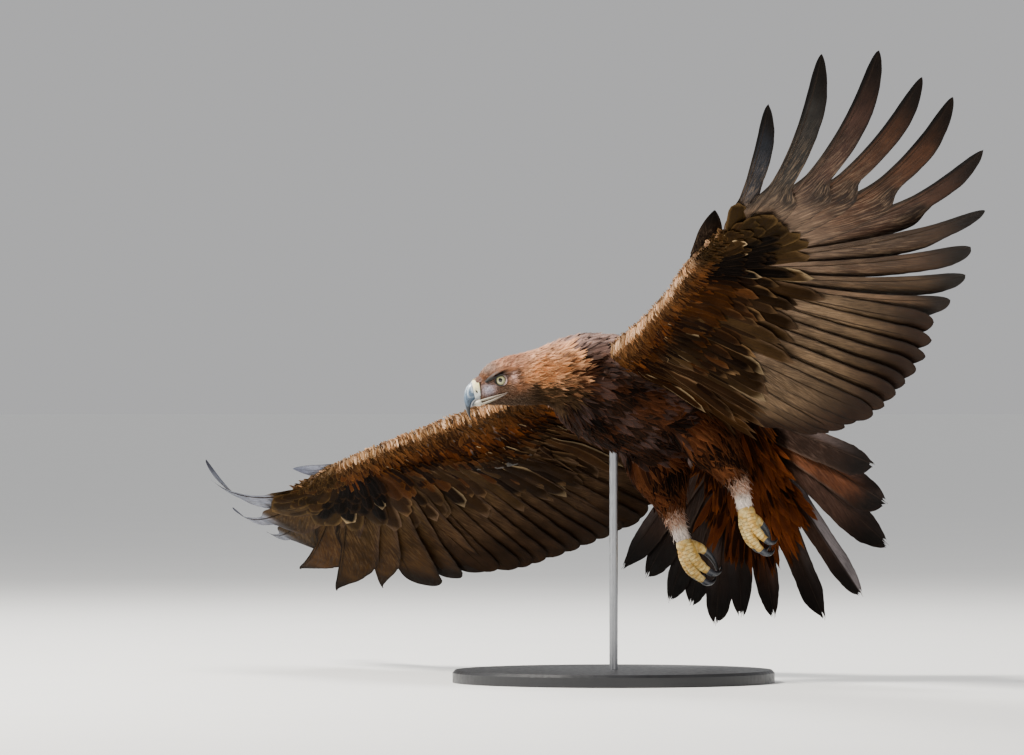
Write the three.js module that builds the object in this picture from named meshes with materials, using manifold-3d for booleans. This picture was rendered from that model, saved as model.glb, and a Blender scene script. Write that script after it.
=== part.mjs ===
// A golden eagle in flight as a life-size museum model, held on a plain display stand.
//
// Everything is in millimetres with +Z up. The origin is the middle of the stand's underside. The bird
// is modelled in its own frame (x forwards, y to its left, z up) inside one group, which is then turned
// to the banked flight of the pose. World +Y points away from the side that the pose is seen from.

import * as THREE from 'three';
import { mergeVertices } from 'three/addons/utils/BufferGeometryUtils.js';
import Module from 'manifold-3d';

const wasm = await Module();
wasm.setup();

// Gap between pieces that touch
const GAP = 0.35;

// Attitude of the body: heading about +Z, nose up, left wing up
const ATTITUDE = { heading: 214, noseUp: 12, bank: 18.5 };
const BODY_HEIGHT = 405;

// Stand
const BASE = { radius: 230, height: 18, bevel: 4 };
const ROD = { radius: 6, offset: [0, 0], bellyDepth: 84, socketDepth: 45 };
// Where the middle of the body lies over the base, along world X and Y
const BODY_OVER_BASE = [45, 10];

// Torso sections, front to back: place along x, half width, top and bottom
const TORSO = [
  [140, 56, 66, -48],
  [118, 69, 73, -65],
  [85, 80, 79, -78],
  [40, 86, 80, -84],
  [0, 85, 76, -84],
  [-40, 80, 70, -80],
  [-80, 70, 60, -70],
  [-115, 58, 50, -58],
  [-145, 45, 41, -46],
  [-170, 32, 32, -34],
  [-186, 18, 22, -22],
];

// Head: where the point between the eyes lies, and how the head is turned on the body
const HEAD = { at: [231, -30, -13], turn: -35, noseUp: -8, roll: -22 };
// Head sections, front to back, in the head's own frame
const HEAD_SECTIONS = [
  [33.5, 11, 7, -32],
  [27, 14.5, 15, -33.5],
  [18, 18, 23, -34.5],
  [9, 20.5, 28.5, -36],
  [0, 22.5, 31.5, -37.5],
  [-10, 29, 33.5, -39],
  [-22, 34, 35, -41],
  [-38, 37.5, 36.5, -43],
  [-54, 40, 39, -45],
];

// Places of the neck's sections between torso and head
const NECK_STEPS = [0, 0.33, 0.67, 1];

// Eye: ball radius, place of its middle beside the head's midplane, and how far it looks forwards,
// the ring of its lids, and the opening between them
const EYE = {
  radius: 9.6, side: 15.6, forward: 22, lidRadius: 8.1, lidThickness: 1.5,
  openingDepth: 24, openingLess: 1, openingFlare: 2,
};
// Brow ridge beside the left eye: its line and its radii
const BROW = { line: [[15, 14.5, 8.5], [4, 20.5, 11], [-13, 27.5, 8]], radii: [2.2, 4.2, 3] };

// Bill sections: [x, z] of the ridge, [x, z] of the cutting edge, half width
const CERE = [
  [[34, 6.5], [34, -20], 10.6],
  [[39, 5.5], [37.5, -20.8], 10],
  [[43.5, 3], [41, -22], 8.8],
];
const BILL_UPPER = [
  [[44, 2.6], [41.5, -22.2], 8.5],
  [[49.5, -1.8], [44.5, -24], 7.4],
  [[54, -9], [47, -26.5], 6],
  [[56.5, -18.5], [49, -30], 4.6],
  [[56.8, -29], [51, -34], 3.1],
  [[55.6, -37.5], [52.6, -39.5], 1.7],
  [[53.6, -44.5], [52.8, -44.8], 0.5],
];
const BILL_LOWER = [
  [[34, -21.6], [34, -32.2], 8.6],
  [[39, -22.8], [39.5, -32], 7.2],
  [[43, -25], [43.5, -31.6], 5.2],
  [[46, -28.6], [46.2, -31], 2.6],
];
const NOSTRIL = { at: [38.2, 8.6, -8.5], radius: 1.7, depth: 2.6, above: 4, slant: 30 };
const MOUTH = { back: -2, front: 40, height: 1.1, z: -20.3, drop: 1.2, halfWidth: 30 };

// Wing bones and the shoulder's place, beside the left wing
const SHOULDER = [60, 70, 20];
const BONES = { humerus: 183, forearm: 213, hand: 163 };

// Pose of each wing, in degrees: sweep (forwards) and lift of each bone, twist of arm and hand, then
// for each flight feather, from the innermost primary out and from the outermost secondary in, its turn
// from straight back (0) to straight out (90), how far it bends up on its way to the tip, and how far
// primaries sweep forwards. The bend grows with a power of the way along. The leading edge lies further
// forwards by lead.
const WINGS = {
  left: {
    side: 1,
    humerus: [25, -11.9], forearm: [23.9, 3.6], hand: [25.7, -6.3],
    armTwist: 24.9, handTwist: 4.3, lead: -1,
    primaryTurns: [19.2, 25.6, 34.7, 43.1, 49.8, 58.6, 70.8, 76.3, 83.5, 92.5],
    primaryBends: [13.5, 15, 13.9, 16.3, 30.8, 45.5, 38.7, 44.6, 43.4, 44.5],
    primarySweeps: [1.3, 0.7, 0.7, 1.2, 5.5, 7.9, 1.6, 7, 9.1, 0.3],
    secondaryTurns: [13.5, 10.3, 7.5, 5.8, 4.9, 4.2, 3.2, 1.2, -2.1, -5.6, -8.4, -9.4, -9.9, -11],
    secondaryBends: [6, 2],
    bendPower: 2.1,
    alula: { turn: 84, lift: 14, bend: 12 },
  },
  right: {
    side: -1,
    humerus: [1.5, -12.9], forearm: [26.5, 5.4], hand: [1.4, 7.6],
    armTwist: 8.9, handTwist: 21.6, lead: 18,
    primaryTurns: [22.5, 29.4, 37.5, 45.9, 53.7, 59.4, 67.1, 75, 83.3, 87.4],
    primaryBends: [10.5, 12.8, 12.6, 13.7, 12.1, 18, 28, 31.6, 40.6, 30.1],
    primarySweeps: [0, 1, 0.5, 1.9, 6.1, 8.1, 5, 0, 2.3, 1.2],
    secondaryTurns: [15.4, 13.3, 12.1, 10.9, 8.4, 5.5, 3, 0.4, -2.6, -4.2, -5.4, -7.2, -9.1, -11],
    secondaryBends: [6.3, 2],
    bendPower: 0.95,
    alula: { turn: 98, lift: -2, bend: 8 },
  },
};

// Flesh of the wing: how far its leading edge lies before the shoulder (forwards, out, up) and the
// wrist, how far it sags between them, how far it reaches into the body, beyond the hand and behind the
// bones, its outline from front to back as shares of chord and thickness, the thickness of each section
// from the body outwards, and thicknesses at three places
const WING_FLESH = {
  leadShoulder: [50, 0, 14], leadWrist: 26, sag: 7, inside: 34, beyond: 16, trail: 24,
  outline: [[0, 0], [0.07, 0.34], [0.3, 0.5], [0.7, 0.48], [1, 0.34]],
  sections: [50, 48, 40, 32, 25, 22, 17, 12, 6],
  atWrist: 22, atTip: 12, atShoulder: 36,
};

// Primaries from the innermost: length, place of the root along the hand, width near the root, and
// for the fingers the place and width past the notch
const PRIMARIES = [
  { length: 350, root: 0.0, width: 68 },
  { length: 372, root: 0.1, width: 68 },
  { length: 392, root: 0.2, width: 68 },
  { length: 440, root: 0.3, width: 68, notch: 0.76, finger: 50 },
  { length: 485, root: 0.42, width: 70, notch: 0.66, finger: 42 },
  { length: 512, root: 0.55, width: 70, notch: 0.58, finger: 37 },
  { length: 546, root: 0.68, width: 70, notch: 0.52, finger: 34 },
  { length: 551, root: 0.8, width: 68, notch: 0.47, finger: 31 },
  { length: 512, root: 0.9, width: 60, notch: 0.43, finger: 27 },
  { length: 360, root: 0.98, width: 42, notch: 0.42, finger: 22 },
];
// Share of a primary's width in front of its shaft
const PRIMARY_FRONT = 0.24;
// Secondaries and tertials from the outermost: lengths
const SECONDARIES = [330, 335, 335, 331, 325, 320, 313, 305, 290, 282, 270, 260, 236, 214];
const SECONDARY_WIDTH = 64;
const SECONDARY_FRONT = 0.42;
// The first of them grow from the forearm, the rest from the humerus, over this share of it
const FOREARM_SECONDARIES = 10;
const TERTIAL_SPAN = 0.75;
// Alula feathers, from the longest: length, width, place of the root along the hand and over it, and
// how much less each turns out and lifts than the pose says
const ALULA = [
  { length: 148, width: 32, root: 0.2, over: 3, turnLess: 0, liftLess: 0 },
  { length: 120, width: 30, root: 0.12, over: 5, turnLess: 3, liftLess: 2 },
  { length: 92, width: 28, root: 0.04, over: 7, turnLess: 6, liftLess: 4 },
];
// How far before the bone the alula feathers start, and the share of them before their shafts
const ALULA_ROOT = { before: 12, front: 0.4 };

// Greater coverts over and under each flight feather: their length as a share of the flight's, the
// same for primaries, width, how deep in the wing's flesh they start, how
// steeply they rise off it, the number of flight feathers that have them, and every how many feathers
// the wider ones of the upper face come
const COVERTS = {
  secondaryShare: 0.42, primaryShare: 0.33, underWidth: 46, overWidth: 62, front: 0.42,
  start: 0.3, rise: 2.5, last: 21, overStep: 2,
};

// Vane thickness at the root and the tip, the tilt of each vane about its shaft, and the shares that
// shape its outline
const VANE = {
  thick: 1.5, thin: 0.8, tilt: 7, bendPower: 1.5, sweepPower: 1.5, pathSteps: 48,
  rootShare: 0.2, rootEnd: 0.2, notchFrom: 0.08, notchTo: 0.05, tipRound: 0.6, tipLeast: 0.06,
};
// Places along a vane where it is split, and how its tip starts and closes
const PLAIN = { stations: [0, 0.15, 0.5, 0.8, 0.93, 1], tipStart: 0.8, tipPower: 2 };
const FINGER = { stations: [0, 0.12, 0.3, 0.84, 0.93, 0.98, 1], tipStart: 0.72, tipPower: 1.7 };
const COVERT = { stations: [0, 0.25, 0.82, 1], tipStart: 0.6 };
// How much flight feathers and coverts differ in length
const UNEVEN = { flight: 0.008, covert: 0.05, tailCovert: 0.04 };

// Tail: where its feathers spread from, how it hangs, and its feathers from the right to the left.
// Cup bends the fan down to both sides and lean tips it to one.
const TAIL = {
  at: [-169, -1, 11],
  droop: 65.2, turn: 21.3, roll: 11.8, cup: -0.15, lean: -0.16, curl: 2,
  turns: [-55.5, -48.8, -40.2, -34.1, -25.3, -16.9, -5.3, 11.7, 26.8, 44.1, 55.2, 65.4],
  lengths: [311, 300, 315, 304, 319, 297, 297, 321, 330, 323, 307, 285],
  rootHalfWidth: 22, width: 44, frontMiddle: 0.5, frontOuter: 0.36,
  // The flesh: its size, and its sections as shares of length and size
  core: { length: 95, halfWidth: 27, halfHeight: 17 },
  sections: [[-0.6, 1], [0, 1], [0.5, 0.92], [0.85, 0.6], [1, 0.25]],
  tipStart: 0.84, middleLift: 1.2,
};
// Tail coverts: how many, their length in the middle and at the sides, spread, width, how far off the
// tail's plane they start, and the angle at which they rise off it
const TAIL_COVERTS = {
  under: {
    face: -1, count: 7, middle: 185, outer: 140, spread: 46, width: 44, front: 0.45, start: 9, rise: 3,
  },
  over: {
    face: 1, count: 5, middle: 135, outer: 105, spread: 40, width: 44, front: 0.45, start: 9, rise: 3,
  },
};

// Legs in the bird's frame: thigh from hip to ankle, then the toes' joint
const LEGS = {
  left: {
    side: 1,
    hip: [-50, 46, -34], knee: [-80, 56, -76], ankle: [-118, 60, -120], toes: [-132, 60, -168],
  },
  right: {
    side: -1,
    hip: [-46, 46, -40], knee: [-72, 56, -92], ankle: [-92, 60, -138], toes: [-112, 60, -183],
  },
};
const THIGH_RADII = { hip: [62, 36], knee: [50, 35], ankle: [18, 15.5] };
// Shank: radius, how much wider its upper end is, and how far that end reaches up into the thigh
const SHANK = { radius: 12.5, flare: 1.15, overlap: 8 };
// Foot: where it is cut from the shank above the toes' joint, how far its pad reaches below, its radii
const FOOT = { above: 6, below: 9, radii: [11, 12.5, 7] };
// Toes of a half closed foot: where each grows beside the middle, how far it fans out from there, its
// angle from the shank's line forwards (the hind toe's backwards) and how much of it curls away, length,
// radius, and its claw's length and bend
const TOES = [
  { name: 'inner', offset: -8, fan: -8, splay: 6, curl: 45, length: 50, radius: 7.5, claw: 34, bend: 115 },
  { name: 'middle', offset: 0, fan: 0, splay: 14, curl: 52, length: 60, radius: 7, claw: 30, bend: 115 },
  { name: 'outer', offset: 8, fan: 8, splay: 8, curl: 45, length: 48, radius: 6.5, claw: 26, bend: 115 },
  { name: 'hind', offset: -5, fan: -3, splay: 75, curl: 32, length: 32, radius: 7.5, claw: 42, bend: 72 },
];
// Radii along a toe as shares of its radius, and the shape of its curl
const TOE_SHARES = [1, 1.1, 0.95, 0.9, 0.62];
const TOE_CURL_POWER = 1.2;
const CLAW = { rootShare: 0.6, tipRadius: 0.5, steps: 6 };

// Colours, roughness and metalness
const finish = (color, roughness, metalness = 0) => (
  new THREE.MeshStandardMaterial({ color, roughness, metalness })
);
const FINISHES = {
  brown: finish(0x4a382b, 0.85),
  dark: finish(0x2e231c, 0.85),
  gold: finish(0xa06f45, 0.85),
  thigh: finish(0x6b4429, 0.85),
  cere: finish(0xd9c27a, 0.5),
  horn: finish(0x2f3338, 0.35),
  eye: finish(0xcbb884, 0.08),
  toe: finish(0xd1a84a, 0.6),
  stand: finish(0x26272a, 0.5),
  rod: finish(0xb9bcc0, 0.35, 1),
};

const rad = THREE.MathUtils.degToRad;
const lerp = THREE.MathUtils.lerp;
const smooth = (a, b, t) => THREE.MathUtils.smoothstep(t, a, b);
const vec = (x, y, z) => new THREE.Vector3(x, y, z);
const from = (list) => new THREE.Vector3(...list);
const mix = (a, b, t) => a.clone().lerp(b, t);
const sum = (...parts) => parts.reduce((total, part) => total.add(part), vec(0, 0, 0));
const times = (vector, k) => vector.clone().multiplyScalar(k);

// A repeatable draw between -1 and 1
function seeded(seed) {
  let state = seed;
  return () => {
    state = (state * 16807) % 2147483647;
    return (state / 2147483647) * 2 - 1;
  };
}

// A frame: origin with forward, left and up
function frameAt(at, heading, noseUp, roll) {
  const turned = new THREE.Matrix4().makeRotationFromEuler(
    new THREE.Euler(rad(roll), -rad(noseUp), rad(heading), 'ZYX'));
  const [forward, left, up] = [vec(), vec(), vec()];
  turned.extractBasis(forward, left, up);
  return { at: from(at), forward, left, up };
}

function place(frame, x, y, z) {
  return sum(frame.at, times(frame.forward, x), times(frame.left, y), times(frame.up, z));
}

// Points round each section of torso, neck and head
const AROUND = 18;

const BIRD = { at: vec(0, 0, 0), forward: vec(1, 0, 0), left: vec(0, 1, 0), up: vec(0, 0, 1) };

// A solid from points and triangles, turned right side out
function solidFrom(points, triangles) {
  let volume = 0;
  const cross = vec();
  for (const [a, b, c] of triangles) volume += points[a].dot(cross.crossVectors(points[b], points[c]));
  const faces = volume < 0 ? triangles.map(([a, b, c]) => [a, c, b]) : triangles;
  return new wasm.Manifold(new wasm.Mesh({
    numProp: 3,
    vertProperties: new Float32Array(points.flatMap((p) => [p.x, p.y, p.z])),
    triVerts: new Uint32Array(faces.flat()),
  }));
}

// A skin over rings of equal count, closed at both ends round each end ring's middle
function loft(rings) {
  const count = rings[0].length;
  const points = rings.flat();
  const triangles = [];
  for (let j = 0; j < rings.length - 1; j += 1) {
    for (let k = 0; k < count; k += 1) {
      const a = j * count + k;
      const b = j * count + ((k + 1) % count);
      triangles.push([a, b, b + count], [a, b + count, a + count]);
    }
  }
  for (const [j, flip] of [[0, true], [rings.length - 1, false]]) {
    const middle = times(sum(...rings[j]), 1 / count);
    points.push(middle);
    for (let k = 0; k < count; k += 1) {
      const a = j * count + k;
      const b = j * count + ((k + 1) % count);
      triangles.push(flip ? [b, a, points.length - 1] : [a, b, points.length - 1]);
    }
  }
  return solidFrom(points, triangles);
}

// An upright oval ring across a frame at x, from bottom to top
function crossRing(frame, x, halfWidth, top, bottom) {
  return Array.from({ length: AROUND }, (_, k) => {
    const turn = (k / AROUND) * 2 * Math.PI;
    const z = (top + bottom) / 2 + ((top - bottom) / 2) * Math.sin(turn);
    return place(frame, x, halfWidth * Math.cos(turn), z);
  });
}

// A round tube along points, with a radius (or a pair: across and along the hint) at each point
function tube(points, radii, hint, sides) {
  const rings = points.map((point, j) => {
    const before = points[Math.max(j - 1, 0)];
    const after = points[Math.min(j + 1, points.length - 1)];
    const along = after.clone().sub(before).normalize();
    const across = along.clone().cross(hint).normalize();
    const third = across.clone().cross(along).normalize();
    const [a, b] = Array.isArray(radii[j]) ? radii[j] : [radii[j], radii[j]];
    return Array.from({ length: sides }, (_, k) => {
      const turn = (k / sides) * 2 * Math.PI;
      return sum(point, times(across, a * Math.cos(turn)), times(third, b * Math.sin(turn)));
    });
  });
  return loft(rings);
}

function ball(middle, radius, across = 12, down = 8) {
  const shape = new THREE.SphereGeometry(radius, across, down);
  return solidOf(shape.rotateX(Math.PI / 2).translate(middle.x, middle.y, middle.z));
}

// A solid of a closed three.js geometry
function solidOf(geometry) {
  geometry.deleteAttribute('normal');
  geometry.deleteAttribute('uv');
  const merged = mergeVertices(geometry, 1e-4);
  const place3 = merged.getAttribute('position');
  const index = merged.getIndex().array;
  const points = Array.from({ length: place3.count }, (_, k) => vec().fromBufferAttribute(place3, k));
  const triangles = [];
  for (let k = 0; k < index.length; k += 3) {
    const [a, b, c] = [index[k], index[k + 1], index[k + 2]];
    if (a !== b && b !== c && a !== c) triangles.push([a, b, c]);
  }
  return solidFrom(points, triangles);
}

// The largest closed surface of a solid
function largest(solid) {
  const volume = (piece) => piece.volume();
  return solid.decompose().reduce((best, piece) => (volume(piece) > volume(best) ? piece : best));
}

const join = (pieces) => pieces.reduce((total, piece) => total.add(piece));

// Width of a vane along its length, as a share of its full width: narrow at the root, narrower past the
// notch of a finger, and rounded off at the tip
function vaneShare(s, { notch, fingerShare = 1, tipStart = 0.8, tipPower = 2 }) {
  const { rootShare, rootEnd, notchFrom, notchTo, tipRound, tipLeast } = VANE;
  const base = rootShare + (1 - rootShare) * smooth(0, rootEnd, s);
  const finger = notch ? lerp(1, fingerShare, smooth(notch - notchFrom, notch + notchTo, s)) : 1;
  const q = Math.max(0, (s - tipStart) / (1 - tipStart));
  return base * finger * Math.max(tipLeast, (1 - q ** tipPower) ** tipRound);
}

// Directions down a shaft, to its front edge and out of its upper face at a share s of its length
function shaftAxes({ along, up, lead, bend, sweep = 0, power = VANE.bendPower }, s) {
  const t = rad(bend) * s ** power;
  const swept = rad(sweep) * s ** VANE.sweepPower;
  const level = sum(times(along, Math.cos(swept)), times(lead, Math.sin(swept)));
  return {
    down: sum(times(level, Math.cos(t)), times(up, Math.sin(t))),
    front: sum(times(lead, Math.cos(swept)), times(along, -Math.sin(swept))),
    face: sum(times(up, Math.cos(t)), times(level, -Math.sin(t))),
  };
}

// One feather vane: a thin curved plate on a shaft that bends up, both faces split alike.
// along, up and lead are unit vectors: down the shaft, out of the upper face and to the front edge.
function vane(feather) {
  const { length, width, front, stations } = feather;
  const steps = VANE.pathSteps;
  const path = [feather.root.clone()];
  for (let k = 0; k < steps; k += 1) {
    const { down } = shaftAxes(feather, (k + 0.5) / steps);
    path.push(sum(path[k], times(down, length / steps)));
  }
  const tilt = rad(VANE.tilt);
  const points = [];
  for (const s of stations) {
    const middle = path[Math.round(s * steps)];
    const axes = shaftAxes(feather, s);
    const across = sum(times(axes.front, Math.cos(tilt)), times(axes.face, Math.sin(tilt)));
    const out = sum(times(axes.face, Math.cos(tilt)), times(axes.front, -Math.sin(tilt)));
    const share = vaneShare(s, feather);
    const half = lerp(VANE.thick, VANE.thin, s) / 2;
    const fore = sum(middle, times(across, width * front * share));
    const rear = sum(middle, times(across, -width * (1 - front) * share));
    for (const [edge, sign] of [[fore, 1], [rear, 1], [fore, -1], [rear, -1]]) {
      points.push(sum(edge, times(out, sign * half)));
    }
  }
  const triangles = [];
  for (let j = 0; j < stations.length - 1; j += 1) {
    const [frontTop, rearTop, frontLow, rearLow] = [0, 1, 2, 3].map((k) => j * 4 + k);
    const next = 4;
    triangles.push([frontTop, rearTop, rearTop + next], [frontTop, rearTop + next, frontTop + next]);
    triangles.push([frontLow, rearLow + next, rearLow], [frontLow, frontLow + next, rearLow + next]);
    triangles.push([frontTop, frontTop + next, frontLow + next], [frontTop, frontLow + next, frontLow]);
    triangles.push([rearTop, rearLow, rearLow + next], [rearTop, rearLow + next, rearTop + next]);
  }
  const end = (stations.length - 1) * 4;
  triangles.push([0, 2, 3], [0, 3, 1], [end, end + 1, end + 3], [end, end + 3, end + 2]);
  return solidFrom(points, triangles);
}


// Outward, backward and upward directions of a wing length, with its twist
function wingAxes(outward, twist) {
  const raised = vec(0, 0, 1).addScaledVector(outward, -outward.z).normalize();
  const behind = raised.clone().cross(outward);
  const t = rad(twist);
  return {
    out: outward,
    back: sum(times(behind, Math.cos(t)), times(raised, -Math.sin(t))),
    up: sum(times(raised, Math.cos(t)), times(behind, Math.sin(t))),
  };
}

function boneDirection([sweep, lift]) {
  const level = Math.cos(rad(lift));
  return vec(level * Math.sin(rad(sweep)), level * Math.cos(rad(sweep)), Math.sin(rad(lift)));
}

// Joints and axes of a wing, as a left wing; the right wing is mirrored at the end
function wingSkeleton(pose) {
  const shoulder = from(SHOULDER);
  const elbow = sum(shoulder, times(boneDirection(pose.humerus), BONES.humerus));
  const wrist = sum(elbow, times(boneDirection(pose.forearm), BONES.forearm));
  const tip = sum(wrist, times(boneDirection(pose.hand), BONES.hand));
  const arm = wingAxes(wrist.clone().sub(shoulder).normalize(), pose.armTwist);
  const hand = wingAxes(tip.clone().sub(wrist).normalize(), pose.handTwist);
  return { shoulder, elbow, wrist, tip, arm, hand };
}

// Axes between arm and hand, square to one another: share 0 is half way, 1 is all hand or arm
function blendAxes(bones, end, share) {
  const other = end === bones.hand ? bones.arm : bones.hand;
  const weight = (1 + share) / 2;
  const up = mix(other.up, end.up, weight).normalize();
  const rough = mix(other.back, end.back, weight).normalize();
  const back = rough.addScaledVector(up, -rough.dot(up)).normalize();
  return { up, back, out: back.clone().cross(up) };
}

// Where each flight feather grows and points, and how much of it is in front of the shaft
function flightFeather(bones, pose, index) {
  const number = index - PRIMARIES.length;
  if (number < 0) {
    const axes = blendAxes(bones, bones.hand, Math.min(1, index / 4));
    const spec = PRIMARIES[index];
    return {
      ...turned(axes, pose.primaryTurns[index]),
      ...spec,
      root: mix(bones.wrist, bones.tip, spec.root),
      bend: pose.primaryBends[index],
      sweep: pose.primarySweeps[index],
      front: PRIMARY_FRONT,
    };
  }
  const u = (number + 0.5) / SECONDARIES.length;
  const axes = blendAxes(bones, bones.arm, Math.min(1, u * 2));
  const tertials = SECONDARIES.length - FOREARM_SECONDARIES;
  const root = number < FOREARM_SECONDARIES
    ? mix(bones.wrist, bones.elbow, (number + 0.3) / FOREARM_SECONDARIES)
    : mix(bones.elbow, bones.shoulder, TERTIAL_SPAN * ((number + 0.3 - FOREARM_SECONDARIES) / tertials));
  return {
    ...turned(axes, pose.secondaryTurns[number]),
    root,
    length: SECONDARIES[number],
    width: SECONDARY_WIDTH,
    bend: lerp(...pose.secondaryBends, u),
    front: SECONDARY_FRONT,
  };
}

// Directions of a feather turned in the plane of some axes: 0 is straight back, 90 straight out
function turned(axes, angle) {
  const t = rad(angle);
  return {
    along: sum(times(axes.back, Math.cos(t)), times(axes.out, Math.sin(t))),
    lead: sum(times(axes.out, Math.cos(t)), times(axes.back, -Math.sin(t))),
    up: axes.up,
  };
}

// A covert on one face (1 is over, -1 under) of a feather, of a share of its length
function covertOn(feather, face, share, start, rise, power, sizes) {
  const t = rad(rise) * face;
  return vane({
    along: sum(times(feather.along, Math.cos(t)), times(feather.up, Math.sin(t))),
    up: sum(times(feather.up, Math.cos(t)), times(feather.along, -Math.sin(t))),
    lead: feather.lead,
    root: sum(feather.root, times(feather.up, face * start)),
    length: feather.length * share,
    bend: feather.bend * share ** power,
    power,
    ...COVERT,
    ...sizes,
  });
}

// The flesh of the wing: aerofoil sections from inside the body to the end of the hand
function wingCore(bones, extra) {
  const { shoulder, elbow, wrist, tip, arm, hand } = bones;
  const { leadShoulder, leadWrist, sag, inside, beyond, trail, outline, sections } = WING_FLESH;
  const from0 = sum(shoulder, from(leadShoulder));
  const to1 = sum(wrist, times(hand.back, -leadWrist - extra));
  const line = wrist.clone().sub(shoulder);
  const places = [
    { bone: sum(shoulder, times(arm.out, -inside)), axes: arm, lead: leadShoulder[0] },
    { bone: shoulder, axes: arm },
    { bone: mix(shoulder, elbow, 0.5), axes: arm },
    { bone: elbow, axes: arm },
    { bone: mix(elbow, wrist, 0.5), axes: arm },
    { bone: wrist, axes: blendAxes(bones, hand, 0), lead: leadWrist + extra },
    { bone: mix(wrist, tip, 0.5), axes: hand, lead: 20 + extra / 2 },
    { bone: tip, axes: hand, lead: 13 },
    { bone: sum(tip, times(hand.out, beyond)), axes: hand, lead: 6, rear: 8 },
  ];
  const rings = places.map(({ bone, axes, lead, rear = trail }, k) => {
    const u = bone.clone().sub(shoulder).dot(line) / line.lengthSq();
    const front = lead === undefined
      ? sum(mix(from0, to1, u), times(axes.back, sag * Math.sin(Math.PI * u)))
      : sum(bone, times(axes.back, -lead));
    const end = sum(bone, times(axes.back, rear));
    const at = ([c, h], face) => sum(mix(front, end, c), times(axes.up, face * h * sections[k]));
    const top = outline.map((point) => at(point, 1));
    const bottom = outline.slice(1).reverse().map((point) => at(point, -1));
    return [...top, ...bottom];
  });
  return loft(rings);
}

// Thickness of the flesh where a flight feather grows
function fleshAt(index) {
  const count = PRIMARIES.length;
  const { atWrist, atTip, atShoulder } = WING_FLESH;
  return index < count
    ? lerp(atWrist, atTip, index / count)
    : lerp(atWrist, atShoulder, (index - count) / SECONDARIES.length);
}

// A whole wing, as a left one, and its two parts on either side of the wrist
function wingParts(pose) {
  const bones = wingSkeleton(pose);
  const random = seeded(pose.side > 0 ? 41 : 57);
  const pieces = [wingCore(bones, pose.lead)];
  const feathers = PRIMARIES.length + SECONDARIES.length;
  const flights = Array.from({ length: feathers }, (_, k) => flightFeather(bones, pose, k));
  flights.forEach((flight, k) => {
    pieces.push(vane({
      ...flight,
      ...(flight.notch ? fingerShape(flight) : PLAIN),
      length: flight.length * (1 + UNEVEN.flight * random()),
      power: pose.bendPower,
    }));
    if (k >= COVERTS.last) return;
    const { primaryShare, secondaryShare, front, start, rise, overStep } = COVERTS;
    const usual = k < PRIMARIES.length ? primaryShare : secondaryShare;
    const share = usual * (1 + UNEVEN.covert * random());
    for (const face of k % overStep === 0 ? [1, -1] : [-1]) {
      const width = face > 0 ? COVERTS.overWidth : COVERTS.underWidth;
      pieces.push(covertOn(flight, face, share, start * fleshAt(k), rise, pose.bendPower, { width, front }));
    }
  });
  pieces.push(...alulaFeathers(bones, pose));
  const whole = join(pieces);
  const [first, next] = [flights[0], flights[PRIMARIES.length]];
  const between = mix(first.along, next.along, 0.5).normalize();
  const up = mix(first.up, next.up, 0.5).normalize();
  const outward = between.clone().cross(up).normalize();
  const at = mix(first.root, next.root, 0.5);
  const offset = outward.dot(at);
  const hand = largest(whole.trimByPlane(outward.toArray(), offset + GAP / 2));
  const arm = largest(whole.trimByPlane(times(outward, -1).toArray(), -offset + GAP / 2));
  return { arm, hand };
}

// Outline of a primary whose end is a finger, split on both sides of its notch as well
function fingerShape({ notch, width, finger }) {
  const around = [notch - VANE.notchFrom, notch + VANE.notchTo];
  const stations = [...FINGER.stations, ...around].sort((a, b) => a - b);
  return { ...FINGER, stations, fingerShare: finger / width };
}

// The small feathers of the thumb, on the upper face of the hand's leading edge
function alulaFeathers(bones, pose) {
  const { hand, wrist, tip } = bones;
  const { turn, lift, bend } = pose.alula;
  return ALULA.map(({ length, width, root, over, turnLess, liftLess }) => {
    const { along, lead } = turned(hand, turn - turnLess);
    const t = rad(lift - liftLess);
    return vane({
      along: sum(times(along, Math.cos(t)), times(hand.up, Math.sin(t))),
      up: sum(times(hand.up, Math.cos(t)), times(along, -Math.sin(t))),
      lead,
      root: sum(mix(wrist, tip, root), times(hand.back, -ALULA_ROOT.before), times(hand.up, over)),
      length,
      width,
      bend,
      front: ALULA_ROOT.front,
      ...PLAIN,
    });
  });
}

// Tail axes in the bird's frame: down the middle feathers, to the left, and out of the upper face
function tailAxes() {
  const droop = rad(TAIL.droop);
  const turn = rad(TAIL.turn);
  const level = Math.cos(droop);
  const along = vec(-level * Math.cos(turn), -level * Math.sin(turn), -Math.sin(droop));
  const flat = vec(0, 1, 0).addScaledVector(along, -along.y).normalize();
  const raised = flat.clone().cross(along);
  if (raised.z < 0) raised.negate();
  const roll = rad(TAIL.roll);
  return {
    along,
    left: sum(times(flat, Math.cos(roll)), times(raised, Math.sin(roll))),
    up: sum(times(raised, Math.cos(roll)), times(flat, -Math.sin(roll))),
  };
}

// A tail feather's directions: turn in degrees from the middle, share -1 to 1 across the tail
function tailFeather(axes, degrees, share) {
  const t = rad(degrees);
  const fanned = sum(times(axes.along, Math.cos(t)), times(axes.left, Math.sin(t)));
  const along = fanned.addScaledVector(axes.up, TAIL.cup * share ** 2 + TAIL.lean * share).normalize();
  const up = axes.up.clone().addScaledVector(along, -axes.up.dot(along)).normalize();
  const lead = along.clone().cross(up);
  if (lead.dot(axes.left) * share < 0) lead.negate();
  return { along, up, lead, bend: TAIL.curl };
}

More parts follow.
